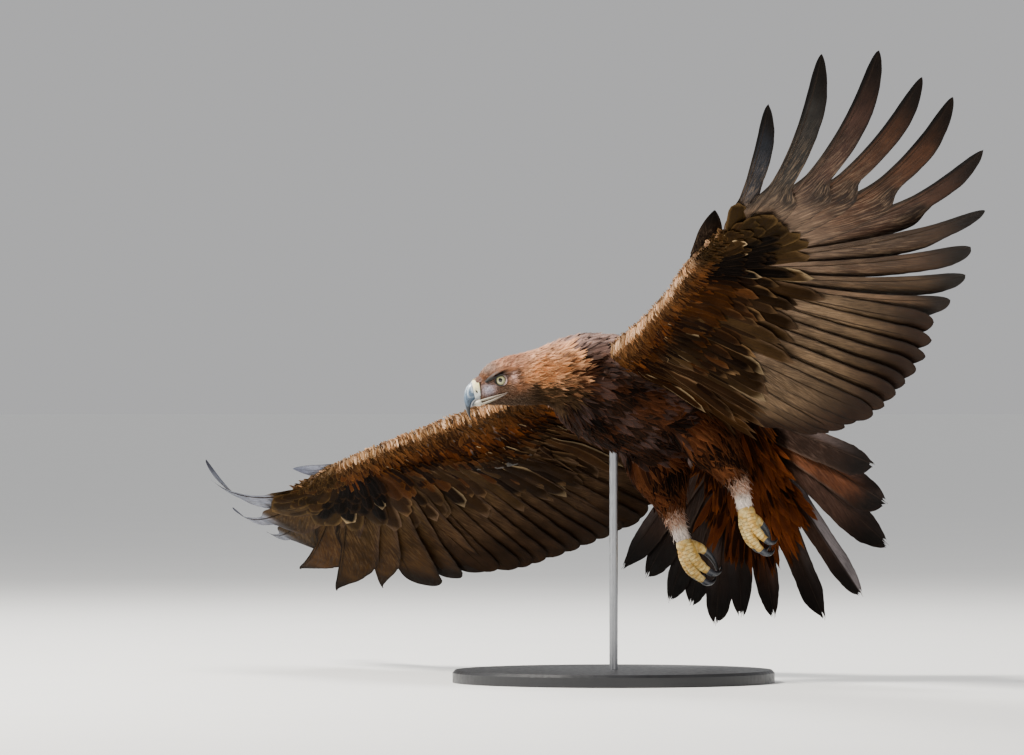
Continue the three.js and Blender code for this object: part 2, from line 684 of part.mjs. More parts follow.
function tailSolid() {
  const axes = tailAxes();
  const at = from(TAIL.at);
  const { length, halfWidth, halfHeight } = TAIL.core;
  const sides = 12;
  const rings = TAIL.sections.map(([s, size]) => Array.from({ length: sides }, (_, k) => {
    const turn = (k / sides) * 2 * Math.PI;
    return sum(at, times(axes.along, s * length), times(axes.left, halfWidth * size * Math.cos(turn)),
      times(axes.up, halfHeight * size * Math.sin(turn)));
  }));
  const pieces = [loft(rings)];
  const last = TAIL.turns.length - 1;
  TAIL.turns.forEach((degrees, k) => {
    const share = (2 * k) / last - 1;
    const lift = k === Math.ceil(last / 2) ? TAIL.middleLift : 0;
    pieces.push(vane({
      ...tailFeather(axes, degrees, share),
      root: sum(at, times(axes.left, TAIL.rootHalfWidth * share), times(axes.up, lift)),
      length: TAIL.lengths[k],
      width: TAIL.width,
      front: lerp(TAIL.frontMiddle, TAIL.frontOuter, Math.abs(share)),
      ...PLAIN,
      tipStart: TAIL.tipStart,
    }));
  });
  const random = seeded(23);
  for (const tier of Object.values(TAIL_COVERTS)) {
    const { face, count, middle, outer, spread, width, front, start, rise } = tier;
    for (let k = 0; k < count; k += 1) {
      const share = (2 * k) / (count - 1) - 1;
      const feather = {
        ...tailFeather(axes, spread * share, share),
        root: sum(at, times(axes.left, TAIL.rootHalfWidth * share)),
        length: lerp(middle, outer, Math.abs(share)) * (1 + UNEVEN.tailCovert * random()),
      };
      pieces.push(covertOn(feather, face, 1, start, rise, 1, { width, front }));
    }
  }
  return join(pieces);
}

function torsoSolid(grow = 0) {
  const rings = TORSO.map(([x, halfWidth, top, bottom], k) => {
    const end = k === 0 ? 1 : k === TORSO.length - 1 ? -1 : 0;
    return crossRing(BIRD, x + end * grow, halfWidth + grow, top + grow, bottom - grow);
  });
  return loft(rings);
}

// The neck runs from the torso's front ring to the head's rear ring, clear of both
function neckSolid(head) {
  const [x0, halfWidth0, top0, bottom0] = TORSO[0];
  const [x1, halfWidth1, top1, bottom1] = HEAD_SECTIONS.at(-1);
  const start = crossRing(BIRD, x0 + GAP, halfWidth0, top0, bottom0);
  const end = crossRing(head, x1 - GAP, halfWidth1, top1, bottom1);
  const rings = NECK_STEPS.map((t) => start.map((point, k) => mix(point, end[k], t)));
  return loft(rings);
}

function eyeMiddle(head, side) {
  return place(head, 0, side * EYE.side, 0);
}

// Direction in which an eye looks
function eyeLook(head, side) {
  const t = rad(EYE.forward);
  return place(head, Math.sin(t), side * Math.cos(t), 0).sub(head.at).normalize();
}

function headSolid(head) {
  const sections = HEAD_SECTIONS.map(([x, half, top, bottom]) => crossRing(head, x, half, top, bottom));
  const pieces = [loft(sections)];
  for (const side of [1, -1]) {
    const look = eyeLook(head, side);
    const ridge = BROW.line.map(([x, y, z]) => place(head, x, side * y, z));
    pieces.push(tube(ridge, BROW.radii, look, 8));
    const rim = sum(eyeMiddle(head, side), times(look, Math.sqrt(EYE.radius ** 2 - EYE.lidRadius ** 2)));
    const ring = new THREE.TorusGeometry(EYE.lidRadius, EYE.lidThickness, 5, 14);
    ring.applyQuaternion(new THREE.Quaternion().setFromUnitVectors(vec(0, 0, 1), look));
    pieces.push(solidOf(ring.translate(rim.x, rim.y, rim.z)));
  }
  let solid = join(pieces);
  for (const side of [1, -1]) {
    const middle = eyeMiddle(head, side);
    const end = sum(middle, times(eyeLook(head, side), EYE.openingDepth));
    const radius = EYE.lidRadius - EYE.openingLess;
    const opening = tube([middle, end], [radius, radius + EYE.openingFlare], head.up, 12);
    solid = solid.subtract(ball(middle, EYE.radius + GAP)).subtract(opening);
  }
  const corners = [[MOUTH.back, 0], [MOUTH.front, -MOUTH.drop]].map(([x, z]) => (
    [-MOUTH.halfWidth, MOUTH.halfWidth].flatMap((y) => (
      [1, -1].map((sign) => place(head, x, y, MOUTH.z + z + (sign * MOUTH.height) / 2))
    ))
  ));
  const slot = loft(corners.map(([a, b, c, d]) => [a, b, d, c]));
  return largest(solid.subtract(slot));
}

// A stretch of bill or cere through upright oval sections that lean as the bill hooks
function billSolid(head, sections, shift = 0) {
  const rings = sections.map(([[x1, z1], [x0, z0], half]) => Array.from({ length: 14 }, (_, k) => {
    const turn = (k / 14) * 2 * Math.PI;
    const t = (1 + Math.sin(turn)) / 2;
    return place(head, lerp(x0, x1, t) + shift, half * Math.cos(turn), lerp(z0, z1, t));
  }));
  return loft(rings);
}

function cereSolid(head) {
  let solid = billSolid(head, CERE);
  const slant = rad(NOSTRIL.slant);
  for (const side of [1, -1]) {
    const [x, y, z] = NOSTRIL.at;
    const line = [NOSTRIL.above, -NOSTRIL.depth].map((d) => place(head, x, side * (y + d), z));
    const tall = place(head, Math.sin(slant), 0, Math.cos(slant)).sub(head.at);
    const { radius } = NOSTRIL;
    solid = solid.subtract(tube(line, [[radius, radius * 1.7], [radius * 0.7, radius]], tall, 8));
  }
  return solid;
}

// Points of a leg, mirrored for the right side
function legPoints(leg) {
  return Object.fromEntries(['hip', 'knee', 'ankle', 'toes'].map((joint) => {
    const [x, y, z] = leg[joint];
    return [joint, vec(x, leg.side * y, z)];
  }));
}

function thighSolid(leg, grow = 0) {
  const { hip, knee, ankle } = legPoints(leg);
  const end = sum(ankle, times(ankle.clone().sub(knee).normalize(), grow));
  const points = [hip, mix(hip, knee, 0.5), knee, mix(knee, ankle, 0.55), end];
  const { hip: a, knee: b, ankle: c } = THIGH_RADII;
  const blend = (p, q, t) => [lerp(p[1], q[1], t) + grow, lerp(p[0], q[0], t) + grow];
  const radii = [blend(a, b, 0), blend(a, b, 0.6), blend(b, c, 0.05), blend(b, c, 0.62), blend(b, c, 1)];
  return tube(points, radii, vec(1, 0, 0.2), 14);
}

// Foot frame: down the shank, forwards and to the left
function footAxes(leg) {
  const { ankle, toes } = legPoints(leg);
  const down = toes.clone().sub(ankle).normalize();
  const left = vec(0, 1, 0).addScaledVector(down, -down.y).normalize();
  const front = left.clone().cross(down).negate();
  if (front.x < 0) front.negate();
  return { down, left, front, toes, ankle };
}

function shankSolid(leg) {
  const { ankle, toes, down, front } = footAxes(leg);
  const start = sum(ankle, times(down, -SHANK.overlap));
  const end = sum(toes, times(down, -FOOT.above - GAP));
  const radii = [SHANK.radius * SHANK.flare, SHANK.radius, SHANK.radius];
  const whole = tube([start, mix(start, toes, 0.5), end], radii, front, 12);
  return largest(whole.subtract(thighSolid(leg, GAP)));
}

// The bent line of a toe, from the pad to the claw. Forwards for the hind toe is backwards.
function toeLine(axes, toe, side) {
  const fan = rad(toe.fan) * side;
  const down = sum(times(axes.down, Math.cos(fan)), times(axes.left, Math.sin(fan)));
  const outward = axes.front.clone().multiplyScalar(toe.name === 'hind' ? -1 : 1);
  const points = [sum(axes.toes, times(axes.left, toe.offset * side))];
  const steps = 4;
  for (let k = 0; k < steps; k += 1) {
    const angle = rad(toe.splay - toe.curl * (k / (steps - 1)) ** TOE_CURL_POWER);
    const direction = sum(times(down, Math.cos(angle)), times(outward, Math.sin(angle)));
    points.push(sum(points[k], times(direction, toe.length / steps)));
  }
  const end = points.at(-1).clone().sub(points.at(-2)).normalize();
  return { points, end, outward };
}

function footSolid(leg) {
  const axes = footAxes(leg);
  const top = sum(axes.toes, times(axes.down, -FOOT.above));
  const pad = [top, axes.toes, sum(axes.toes, times(axes.down, FOOT.below))];
  const pieces = [tube(pad, FOOT.radii, axes.front, 12)];
  for (const toe of TOES) {
    const { points, outward } = toeLine(axes, toe, leg.side);
    pieces.push(tube(points, TOE_SHARES.map((share) => toe.radius * share), outward, 7));
  }
  return join(pieces).trimByPlane(axes.down.toArray(), axes.down.dot(top));
}

// A claw: a round cone bent down through most of a half turn
function clawSolid(leg, toe) {
  const axes = footAxes(leg);
  const { points, end, outward } = toeLine(axes, toe, leg.side);
  const inward = outward.clone().negate().addScaledVector(end, outward.dot(end)).normalize();
  const bend = rad(toe.bend);
  const { steps } = CLAW;
  const line = [sum(points.at(-1), times(end, GAP))];
  for (let k = 0; k < steps; k += 1) {
    const angle = (bend * k) / (steps - 1);
    const direction = sum(times(end, Math.cos(angle)), times(inward, Math.sin(angle)));
    line.push(sum(line[k], times(direction, toe.claw / steps)));
  }
  const root = toe.radius * CLAW.rootShare;
  const radii = line.map((_, k) => lerp(root, CLAW.tipRadius, (k / steps) ** 1.3));
  return tube(line, radii, end.clone().cross(inward), 7);
}

// World placing of the bird, and of the rod seen from the bird
const birdGroup = new THREE.Group();
birdGroup.position.set(BODY_OVER_BASE[0], BODY_OVER_BASE[1], BODY_HEIGHT);
birdGroup.rotation.set(rad(ATTITUDE.bank), -rad(ATTITUDE.noseUp), rad(ATTITUDE.heading), 'ZYX');
birdGroup.updateMatrixWorld(true);
const toBird = birdGroup.matrixWorld.clone().invert();

function rodLine(grow) {
  const [x, y] = ROD.offset;
  const bottom = vec(x, y, BASE.height + GAP);
  const top = vec(x, y, BODY_HEIGHT - ROD.bellyDepth + ROD.socketDepth + grow);
  return { bottom, top };
}

function rodInBird(grow) {
  const { bottom, top } = rodLine(grow);
  const points = [bottom, top].map((point) => point.applyMatrix4(toBird));
  return tube(points, [ROD.radius + grow, ROD.radius + grow], vec(1, 0, 0), 16);
}

function mesh(name, solid, material) {
  const { vertProperties, triVerts, numProp } = solid.getMesh();
  const count = vertProperties.length / numProp;
  const position = new Float32Array(count * 3);
  for (let k = 0; k < count; k += 1) {
    for (let axis = 0; axis < 3; axis += 1) position[k * 3 + axis] = vertProperties[k * numProp + axis];
  }
  const geometry = new THREE.BufferGeometry();
  geometry.setAttribute('position', new THREE.BufferAttribute(position, 3));
  geometry.setIndex(Array.from(triVerts));
  geometry.computeVertexNormals();
  const made = new THREE.Mesh(geometry, material);
  made.name = name;
  return made;
}

const mirrorForSide = (solid, side) => (side > 0 ? solid : solid.mirror([0, 1, 0]));

function addBird() {
  const grown = torsoSolid(0.4);
  const head = frameAt(HEAD.at, HEAD.turn, HEAD.noseUp, HEAD.roll);
  const add = (name, solid, material) => birdGroup.add(mesh(name, solid, material));
  add('torso', torsoSolid().subtract(rodInBird(GAP)), FINISHES.dark);
  add('neck', neckSolid(head), FINISHES.gold);
  add('head', headSolid(head), FINISHES.gold);
  add('cere', cereSolid(head), FINISHES.cere);
  add('bill_upper', billSolid(head, BILL_UPPER), FINISHES.horn);
  add('bill_lower', billSolid(head, BILL_LOWER), FINISHES.horn);
  add('tail', largest(tailSolid().subtract(grown)), FINISHES.brown);
  for (const [name, pose] of Object.entries(WINGS)) {
    const { arm, hand } = wingParts(pose);
    add(`wing_${name}_arm`, largest(mirrorForSide(arm, pose.side).subtract(grown)), FINISHES.brown);
    add(`wing_${name}_hand`, mirrorForSide(hand, pose.side), FINISHES.brown);
    add(`eye_${name}`, ball(eyeMiddle(head, pose.side), EYE.radius), FINISHES.eye);
  }
  for (const [name, leg] of Object.entries(LEGS)) {
    add(`leg_${name}_thigh`, largest(thighSolid(leg).subtract(grown)), FINISHES.thigh);
    add(`leg_${name}_shank`, shankSolid(leg), FINISHES.thigh);
    add(`foot_${name}`, footSolid(leg), FINISHES.toe);
    for (const toe of TOES) add(`claw_${name}_${toe.name}`, clawSolid(leg, toe), FINISHES.horn);
  }
}

function addStand(group) {
  const { radius, height, bevel } = BASE;
  const outline = [[0, 0], [radius, 0], [radius, height - bevel], [radius - bevel, height], [0, height]];
  const base = new THREE.LatheGeometry(outline.map(([x, y]) => new THREE.Vector2(x, y)), 36);
  group.add(mesh('stand_base', solidOf(base.rotateX(Math.PI / 2)), FINISHES.stand));
  const { bottom, top } = rodLine(0);
  const rod = new THREE.CylinderGeometry(ROD.radius, ROD.radius, top.z - bottom.z, 16);
  rod.rotateX(Math.PI / 2).translate(bottom.x, bottom.y, (top.z + bottom.z) / 2);
  group.add(mesh('stand_rod', solidOf(rod), FINISHES.rod));
}

const eagle = new THREE.Group();
addBird();
eagle.add(birdGroup);
addStand(eagle);

export default eagle;
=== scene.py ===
"""Looks of a golden eagle in flight on a display stand.

All shapes are worked out in millimetres, in the bird's own frame (x forwards, y to its left, z up), and
turned to the banked pose when a piece is made. Feathers are thin closed vanes, joined by the thousand.
"""

import math

import bpy
import numpy as np
from mathutils import Matrix, Vector
from mathutils.bvhtree import BVHTree
from mathutils.kdtree import KDTree


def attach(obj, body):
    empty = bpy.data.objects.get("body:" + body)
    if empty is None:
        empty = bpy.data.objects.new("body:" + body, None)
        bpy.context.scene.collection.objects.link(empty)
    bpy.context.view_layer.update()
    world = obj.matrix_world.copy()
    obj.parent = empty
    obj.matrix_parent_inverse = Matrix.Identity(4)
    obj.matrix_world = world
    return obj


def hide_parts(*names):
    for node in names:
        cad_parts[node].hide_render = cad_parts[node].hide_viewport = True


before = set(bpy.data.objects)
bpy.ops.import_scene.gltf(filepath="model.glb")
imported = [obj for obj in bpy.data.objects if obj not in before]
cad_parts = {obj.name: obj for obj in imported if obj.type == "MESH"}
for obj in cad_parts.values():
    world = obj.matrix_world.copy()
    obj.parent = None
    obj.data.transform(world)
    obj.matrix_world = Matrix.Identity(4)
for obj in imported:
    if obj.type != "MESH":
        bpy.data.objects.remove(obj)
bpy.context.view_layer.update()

# Attitude of the body, and the height of its middle over the floor
ATTITUDE = (214, 12, 18.5)
BODY_AT = np.array([45, 10, 405.0])

# Torso sections, front to back: place along x, half width, top and bottom
TORSO = [
    [140, 56, 66, -48], [118, 69, 73, -65], [85, 80, 79, -78], [40, 86, 80, -84], [0, 85, 76, -84],
    [-40, 80, 70, -80], [-80, 70, 60, -70], [-115, 58, 50, -58], [-145, 45, 41, -46],
    [-170, 32, 32, -34], [-186, 18, 22, -22],
]
# Head: the place between the eyes, its turn, and its sections from the bill backwards
HEAD_AT = np.array([231, -30, -13.0])
HEAD_TURN = (-35, -8, -22)
HEAD = [
    [33.5, 11, 9.5, -32], [27, 14.5, 18.5, -33.5], [18, 18, 25, -34.5], [9, 20.5, 29.5, -36],
    [0, 22.5, 31.5, -37.5], [-10, 29, 33.5, -39], [-22, 34, 35, -41], [-38, 37.5, 36.5, -43],
    [-54, 40, 39, -45],
]
EYE = {"radius": 9.6, "side": 15.6, "forward": 22, "lid": 8.1, "pupil": 3.0, "iris": 6.5}
BROW = {
    "line": [[24, 16.2, 0.2], [13, 19.6, 6.2], [-2, 23, 10.9], [-18, 29, 13]],
    "radii": [1.6, 3.5, 4.2, 2.2], "feathers": 420,
}
# Bill sections: [x, z] of the ridge, [x, z] of the cutting edge, half width
CERE = [[33, 9.5, 33, -20, 10.8], [39, 6.6, 37.5, -20.8, 10], [43.5, 2.8, 41, -22, 8.8]]
BILL_UPPER = [
    [44, 2.2, 41.5, -22.2, 8.5], [49.5, -1.8, 44.5, -24, 7.4], [54, -9, 47, -26.8, 6],
    [56.4, -19, 48.6, -31, 4.7], [56.4, -30, 50, -36.5, 3.3], [54.6, -41, 50.8, -43.5, 1.8],
    [51.2, -50.2, 50.4, -50.6, 0.5],
]
BILL_LOWER = [
    [34, -21.6, 34, -32.2, 8.6], [39, -22.8, 39.5, -32, 7.2], [43, -25, 43.5, -31.6, 5.2],
    [46, -28.6, 46.2, -31, 2.6],
]
NOSTRIL = {"at": [37.6, -11.5], "slant": 30, "long": 3.4, "wide": 1.5, "depth": 2.6}
GAPE = {
    "upper": [[33.7, 10.5, -24.8], [23.8, 15, -23.6], [13.9, 19.5, -22], [3.9, 23, -20.3],
              [-4.8, 26, -18.3]],
    "lower": [[34.5, 9.5, -30.2], [26.1, 14, -28.6], [16.1, 19, -26.2], [5.9, 22.6, -23.2],
              [-3, 25.5, -20.2]],
    "radii": [1.4, 1.7, 1.5, 1.0, 0.3],
}

# Wing bones, and the pose of each wing in degrees, as in the solids
SHOULDER = np.array([60, 70, 20.0])
BONES = {"humerus": 183, "forearm": 213, "hand": 163}
WINGS = {
    "left": {
        "side": 1, "humerus": (25, -11.9), "forearm": (23.9, 3.6), "hand": (25.7, -6.3),
        "arm_twist": 24.9, "hand_twist": 4.3, "lead": -1,
        "primary_turns": [19.2, 25.6, 34.7, 43.1, 49.8, 58.6, 70.8, 76.3, 83.5, 92.5],
        "primary_bends": [13.5, 15, 13.9, 16.3, 30.8, 45.5, 38.7, 44.6, 43.4, 44.5],
        "primary_sweeps": [1.3, 0.7, 0.7, 1.2, 5.5, 7.9, 1.6, 7, 9.1, 0.3],
        "secondary_turns": [13.5, 10.3, 7.5, 5.8, 4.9, 4.2, 3.2, 1.2, -2.1, -5.6, -8.4, -9.4, -9.9, -11],
        "secondary_bends": (6, 2), "power": 2.1, "pointed": (), "fingers": {},
        "alula": {"turn": 91, "lift": 14, "bend": 12, "stretch": 1},
    },
    "right": {
        "side": -1, "humerus": (1.5, -12.9), "forearm": (26.5, 5.4), "hand": (1.4, 7.6),
        "arm_twist": 8.9, "hand_twist": 21.6, "lead": 18,
        "primary_turns": [22.5, 29.4, 37.5, 45.9, 53.7, 59.4, 67.1, 75, 83.3, 87.4],
        "primary_bends": [10.5, 12.8, 12.6, 13.7, 12.1, 18, 28, 31.6, 40.6, 30.1],
        "primary_sweeps": [0, 1, 0.5, 1.9, 6.1, 8.1, 5, 0, 2.3, 1.2],
        "secondary_turns": [15.4, 13.3, 12.1, 10.9, 8.4, 5.5, 3, 0.4, -2.6, -4.2, -5.4, -7.2, -9.1, -11],
        "secondary_bends": (6.3, 2), "power": 0.95, "pointed": (3, 4, 5),
        "fingers": {6: (0.66, 18), 7: (0.5, 20), 8: (0.36, 28), 9: (0.36, 22)},
        "alula": {"turn": 98, "lift": 1, "bend": 10, "stretch": 1.22},
    },
}
FLESH = {
    "lead_shoulder": np.array([50, 0, 14.0]), "lead_wrist": 26, "sag": 7, "inside": 34, "beyond": 16,
    "trail": 24, "outline": [[0, 0], [0.07, 0.34], [0.3, 0.5], [0.7, 0.48], [1, 0.34]],
    "sections": [50, 48, 40, 32, 25, 22, 17, 12, 6],
}
# Primaries from the innermost: length, root along the hand, width, notch and width of the finger
PRIMARIES = [
    [350, 0, 68, 9, 68], [372, 0.1, 68, 9, 68], [392, 0.2, 68, 9, 68], [440, 0.3, 68, 0.79, 50],
    [485, 0.42, 70, 0.7, 42], [512, 0.55, 70, 0.63, 38], [546, 0.68, 70, 0.57, 35],
    [551, 0.8, 68, 0.5, 32], [512, 0.9, 60, 0.44, 29], [360, 0.98, 42, 0.42, 24],
]
SECONDARIES = [330, 335, 335, 331, 325, 320, 313, 305, 290, 282, 270, 260, 236, 214]
SECONDARY_WIDTH = 64
# The first of them grow from the forearm, the rest from the humerus
FOREARM_SECONDARIES = 10
FRONT = {"primary": 0.24, "secondary": 0.42}
# Alula: length, width, root along the hand and over it, and how much less each turns out and lifts
ALULA = [[128, 34, 0.18, 3, 0, 0], [106, 32, 0.1, 5, 4, 2], [84, 30, 0.02, 7, 8, 4]]
ALULA_ROOT = {"before": 12, "front": 0.4}
# Colours of the primaries from below, from the innermost outwards; the right wing's four outer ones show
# theirs beyond the notch. The right wing's tones are darker than the left's, as painted shade on the far
# wing, and its four outer ones are pale blue-grey, a painted reflection of the sky's light
PRIMARY_TONES = {
    "left": "604e3f 574636 4a3a2e 3f3127 46332a 4e3628 4e3628 3f2e28 33312f 2c2f35",
    "right": "35281c 322518 342616 302315 302314 332414 6c6e75 6e7078 74777f 787b84",
}
# Colours of the other flight feathers: secondaries, roots and secondaries' ends from below, shafts, and
# the thumb's feathers from above and from below at their roots and tips. The right wing's are darker than
# the left's, as painted shade on the far wing, but for its thumb's feathers, whose pale blue-grey is a
# painted reflection of the sky's light
FLIGHT_TONES = {
    "left": {"arm": "60503f", "root": "6c5b4e", "end": "2c1e17", "shaft": "3a2f27", "alula": "3a2f28",
             "alula_root": "2c211b", "alula_tip": "120e0c"},
    "right": {"arm": "35291f", "root": "33281a", "end": "241a12", "shaft": "2a2016", "alula": "777a84",
              "alula_root": "888b96", "alula_tip": "6c6f7c"},
}
# How much lighter than these tones the right wing is from below, and how many of its outer primaries are
# pale beyond their notches, where the photo shows the sky's light on them
RIGHT_LIGHTER = np.array([1.35, 1.3, 1.25])
PALE_PRIMARIES = 4
VANE = {
    "tilt": 1.5, "steepest": 12, "root_share": 0.2, "root_end": 0.2, "notch_from": 0.08, "notch_to": 0.05,
}
# A notch and a finger's share of width for feathers that have none
NO_NOTCH = (9, 1)
# Degrees by which wing coverts roll about their shafts, and the size of those in each stretch of the wing
COVERT_ROLL = 6
COVERT_TAPER = [0.8, 0.88, 1, 1, 1.05, 0.95]
# Most triangles in a piece of feathers
PIECE_TRIANGLES = 190000
# Points on the body that are tried for a feather's root, and small feathers over the top of the cere
COAT_TRIES = 330000
FOREHEAD_FEATHERS = 420

TAIL = {
    "at": np.array([-169, -1, 11.0]), "grey": 8, "droop": 65.2, "turn": 21.3, "roll": 11.8, "cup": -0.15,
    "lean": -0.16, "curl": 2, "half": 22, "width": 44,
    "turns": [-55.5, -48.8, -40.2, -34.1, -25.3, -16.9, -5.3, 11.7, 26.8, 44.1, 55.2, 65.4],
    "lengths": [311, 300, 315, 304, 319, 297, 297, 321, 330, 323, 307, 285],
    "core": (95, 27, 17), "sections": [[-0.6, 1], [0, 1], [0.5, 0.92], [0.85, 0.6], [1, 0.25]],
}

LEGS = {
    "left": {"side": 1, "hip": [-50, 46, -34], "knee": [-80, 56, -76], "ankle": [-118, 60, -120],
             "toes": [-132, 60, -168]},
    "right": {"side": -1, "hip": [-46, 46, -40], "knee": [-72, 56, -92], "ankle": [-92, 60, -138],
              "toes": [-112, 60, -183]},
}
# Half sizes of the thigh along and across the body, and the shank's radii from the ankle down
THIGH = {"hip": (62, 36), "knee": (50, 35), "ankle": (18, 15.5)}
SHANK_RADII = [14, 14, 12.5, 12]
FOOT = {"above": 6, "below": 9, "radii": [11, 12.5, 7]}
# Toes of a half closed foot: offset beside the middle, fan, splay, curl, length, radius, claw and its bend
TOES = {
    "inner": (-8, -8, 6, 45, 50, 7.5, 34, 115),
    "middle": (0, 0, 14, 52, 60, 7, 30, 115),
    "outer": (8, 8, 8, 45, 48, 6.5, 26, 115),
    "hind": (-5, -3, 75, 32, 32, 7.5, 42, 72),
}
TOE_SHARES = [1, 1.1, 0.95, 0.9, 0.62]
TOE_CURL_POWER = 1.2
SCUTE = 4.6
# Direction that a leg's wide side faces, roughly
LEG_HINT = np.array([1, 0, 0.2])
# The stand's base: radius, height and bevel
BASE = (230, 18, 4)
# Radius of the floor in metres
FLOOR = 200

# Camera: metres, looking along +Y, with the photo's focal length in pixels
CAMERA_AT = (-0.145, -11.99, 0.435)
FOCAL_PIXELS = 8400
PICTURE_WIDTH = 1024
# Lamps: where, how large, how strong, colour; all of them look at one point
LAMPS = {
    "key": ((-3.4, -1.1, 4.0), 1.2, 760, (1, 0.95, 0.88)),
    "fill": ((1.8, -4.5, 1.4), 3.5, 30, (1, 0.93, 0.86)),
    "rim": ((-0.8, 3.2, 3.4), 1.6, 190, (1, 0.97, 0.93)),
}
LAMPS_AIM = Vector((0.05, 0, 0.45))
SKY = (0.82, 0.82, 0.83, 1)
SKY_STRENGTH = 0.6
# As much light of its own as makes the far floor as bright as the sky behind it
FLOOR_GLOW = 0.16
BODY_NODES = (
    "torso", "neck", "head", "leg_left_thigh", "leg_left_shank", "leg_right_thigh", "leg_right_shank",
)


def colour(code):
    """Linear red, green and blue of a screen colour such as 'a07040'."""
    parts = np.array([int(code[k:k + 2], 16) / 255 for k in (0, 2, 4)])
    return np.where(parts <= 0.04045, parts / 12.92, ((parts + 0.055) / 1.055) ** 2.4)


def deepened(tint):
    """A feather's tint with more colour and deeper darks."""
    grey = tint.mean(-1, keepdims=True)
    more = lerp(1.03, 1.16, smooth(0.04, 0.2, grey))
    return np.maximum(grey + more * (tint - grey), 0) ** 1.18


def unit(vectors):
    """Vectors of length 1."""
    vectors = np.asarray(vectors, float)
    return vectors / np.maximum(np.linalg.norm(vectors, axis=-1, keepdims=True), 1e-9)


def dot(a, b):
    """Dot products, kept as a last column."""
    return (np.asarray(a) * b).sum(-1, keepdims=True)


def lerp(a, b, t):
    return a + (b - a) * t


def between(first, second, share):
    """A colour between two colours, each given as a code or by its parts."""
    first, second = (colour(tone) if isinstance(tone, str) else tone for tone in (first, second))
    return lerp(first, second, share)


def circle(count):
    """Angles round a circle."""
    return np.arange(count) / count * 2 * math.pi


def columns_of(rows):
    """One array for each column of a list of rows."""
    return [np.array(column) for column in zip(*rows)]


def homes(count, column, first=0.05, last=0.95):
    """Places on the unwrapped skin for feathers that grow in a line."""
    return np.stack([np.full(count, column), np.linspace(first, last, count)], -1)


def faced(shafts, face):
    """Directions along shafts and out of their vanes, the second made square to the first."""
    down = unit(np.gradient(shafts, axis=1))
    return down, unit(face - down * dot(face, down))


def smooth(a, b, t):
    """A soft step from 0 at a to 1 at b."""
    q = np.clip((t - a) / (b - a), 0, 1)
    return q * q * (3 - 2 * q)


def spline(table, places):
    """Smooth values between the rows of a table; row k lies at place k."""
    table = np.asarray(table, float)
    places = np.asarray(places, float)
    last = len(table) - 1
    k = np.clip(np.floor(places).astype(int), 0, last - 1)
    f = (places - k).reshape(places.shape + (1,) * (table.ndim - 1))
    p0, p1, p2, p3 = (table[np.clip(k + d, 0, last)] for d in (-1, 0, 1, 2))
    return p1 + 0.5 * f * (p2 - p0 + f * (2 * p0 - 5 * p1 + 4 * p2 - p3 + f * (3 * (p1 - p2) + p3 - p0)))


def tabled(places, rows, wanted):
    """Straight values between rows (k, ...) that lie at places (k,)."""
    rows = np.asarray(rows, float)
    flat = rows.reshape(len(rows), -1)
    found = [np.interp(wanted, places, flat[:, k]) for k in range(flat.shape[1])]
    return np.stack(found, -1).reshape(np.shape(wanted) + rows.shape[1:])


def patchy(points, size, seed):
    """Soft patches, 0 to 1, about size across."""
    random = np.random.default_rng(seed)
    total = 0
    for _ in range(7):
        wave = unit(random.normal(size=3)) * 2 * math.pi / (size * random.uniform(0.7, 1.8))
        total = total + np.sin(points @ wave + random.uniform(0, 6.28))
    return 1 / (1 + np.exp(-1.1 * total))


def patches(first, second, points, size, seed):
    """Two colours in soft patches."""
    return between(first, second, patchy(points, size, seed)[:, None])


def axes_of(heading, nose_up, roll):
    """A frame whose columns are forward, left and up."""
    turned = Matrix.Rotation(math.radians(heading), 3, "Z")
    turned = turned @ Matrix.Rotation(math.radians(-nose_up), 3, "Y")
    return np.array(turned @ Matrix.Rotation(math.radians(roll), 3, "X"))


BIRD_AXES = axes_of(*ATTITUDE)
HEAD_AXES = axes_of(*HEAD_TURN)


def on_head(points):
    """Points of the head's frame in the bird's frame."""
    return HEAD_AT + np.asarray(points, float) @ HEAD_AXES.T


def to_head(points):
    """Points of the bird's frame in the head's frame."""
    return (np.asarray(points) - HEAD_AT) @ HEAD_AXES


def to_world(points):
    """Points of the bird's frame in the world, in metres."""
    return (BODY_AT + np.asarray(points) @ BIRD_AXES.T) / 1000


def tinted_piece(name, points, faces, material, tint, node):
    """A piece with a tint of its own in place of one node."""
    return make_piece(name, points, faces, material, {"tint": tint}, (node,))


def make_piece(name, points, faces, material, attributes=None, nodes=(), bake=None, world=False):
    """A smooth-shaded object from points in the bird's frame (mm) and faces of 4 (or 3) corners."""
    faces = np.asarray(faces, np.int32)
    points = np.asarray(points, float)
    points = points / 1000 if world else to_world(points)
    mesh = bpy.data.meshes.new(name)
    mesh.vertices.add(len(points))
    mesh.vertices.foreach_set("co", points.astype(np.float32).ravel())
    mesh.loops.add(faces.size)
    mesh.loops.foreach_set("vertex_index", faces.ravel())
    mesh.polygons.add(len(faces))
    corners = faces.shape[1]
    mesh.polygons.foreach_set("loop_start", np.arange(len(faces), dtype=np.int32) * corners)
    mesh.polygons.foreach_set("use_smooth", np.ones(len(faces), bool))
    for key, values in (attributes or {}).items():
        values = np.asarray(values, np.float32)
        if values.shape[-1] == 3 and key != "vane":
            values = np.concatenate([values, np.ones(values.shape[:-1] + (1,), np.float32)], -1)
        kind = "FLOAT_VECTOR" if key == "vane" else "FLOAT_COLOR"
        layer = mesh.attributes.new(key, kind, "POINT")
        layer.data.foreach_set("vector" if key == "vane" else "color", values.ravel())
    if bake is not None:
        layer = mesh.uv_layers.new(name="OFBake")
        layer.data.foreach_set("uv", np.asarray(bake, np.float32)[faces.ravel()].ravel())
    mesh.update(calc_edges=True)
    mesh.validate()
    mesh.materials.append(material)
    piece = bpy.data.objects.new(name, mesh)
    bpy.context.scene.collection.objects.link(piece)
    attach(piece, "root")
    if nodes:
        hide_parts(*nodes)
    return piece


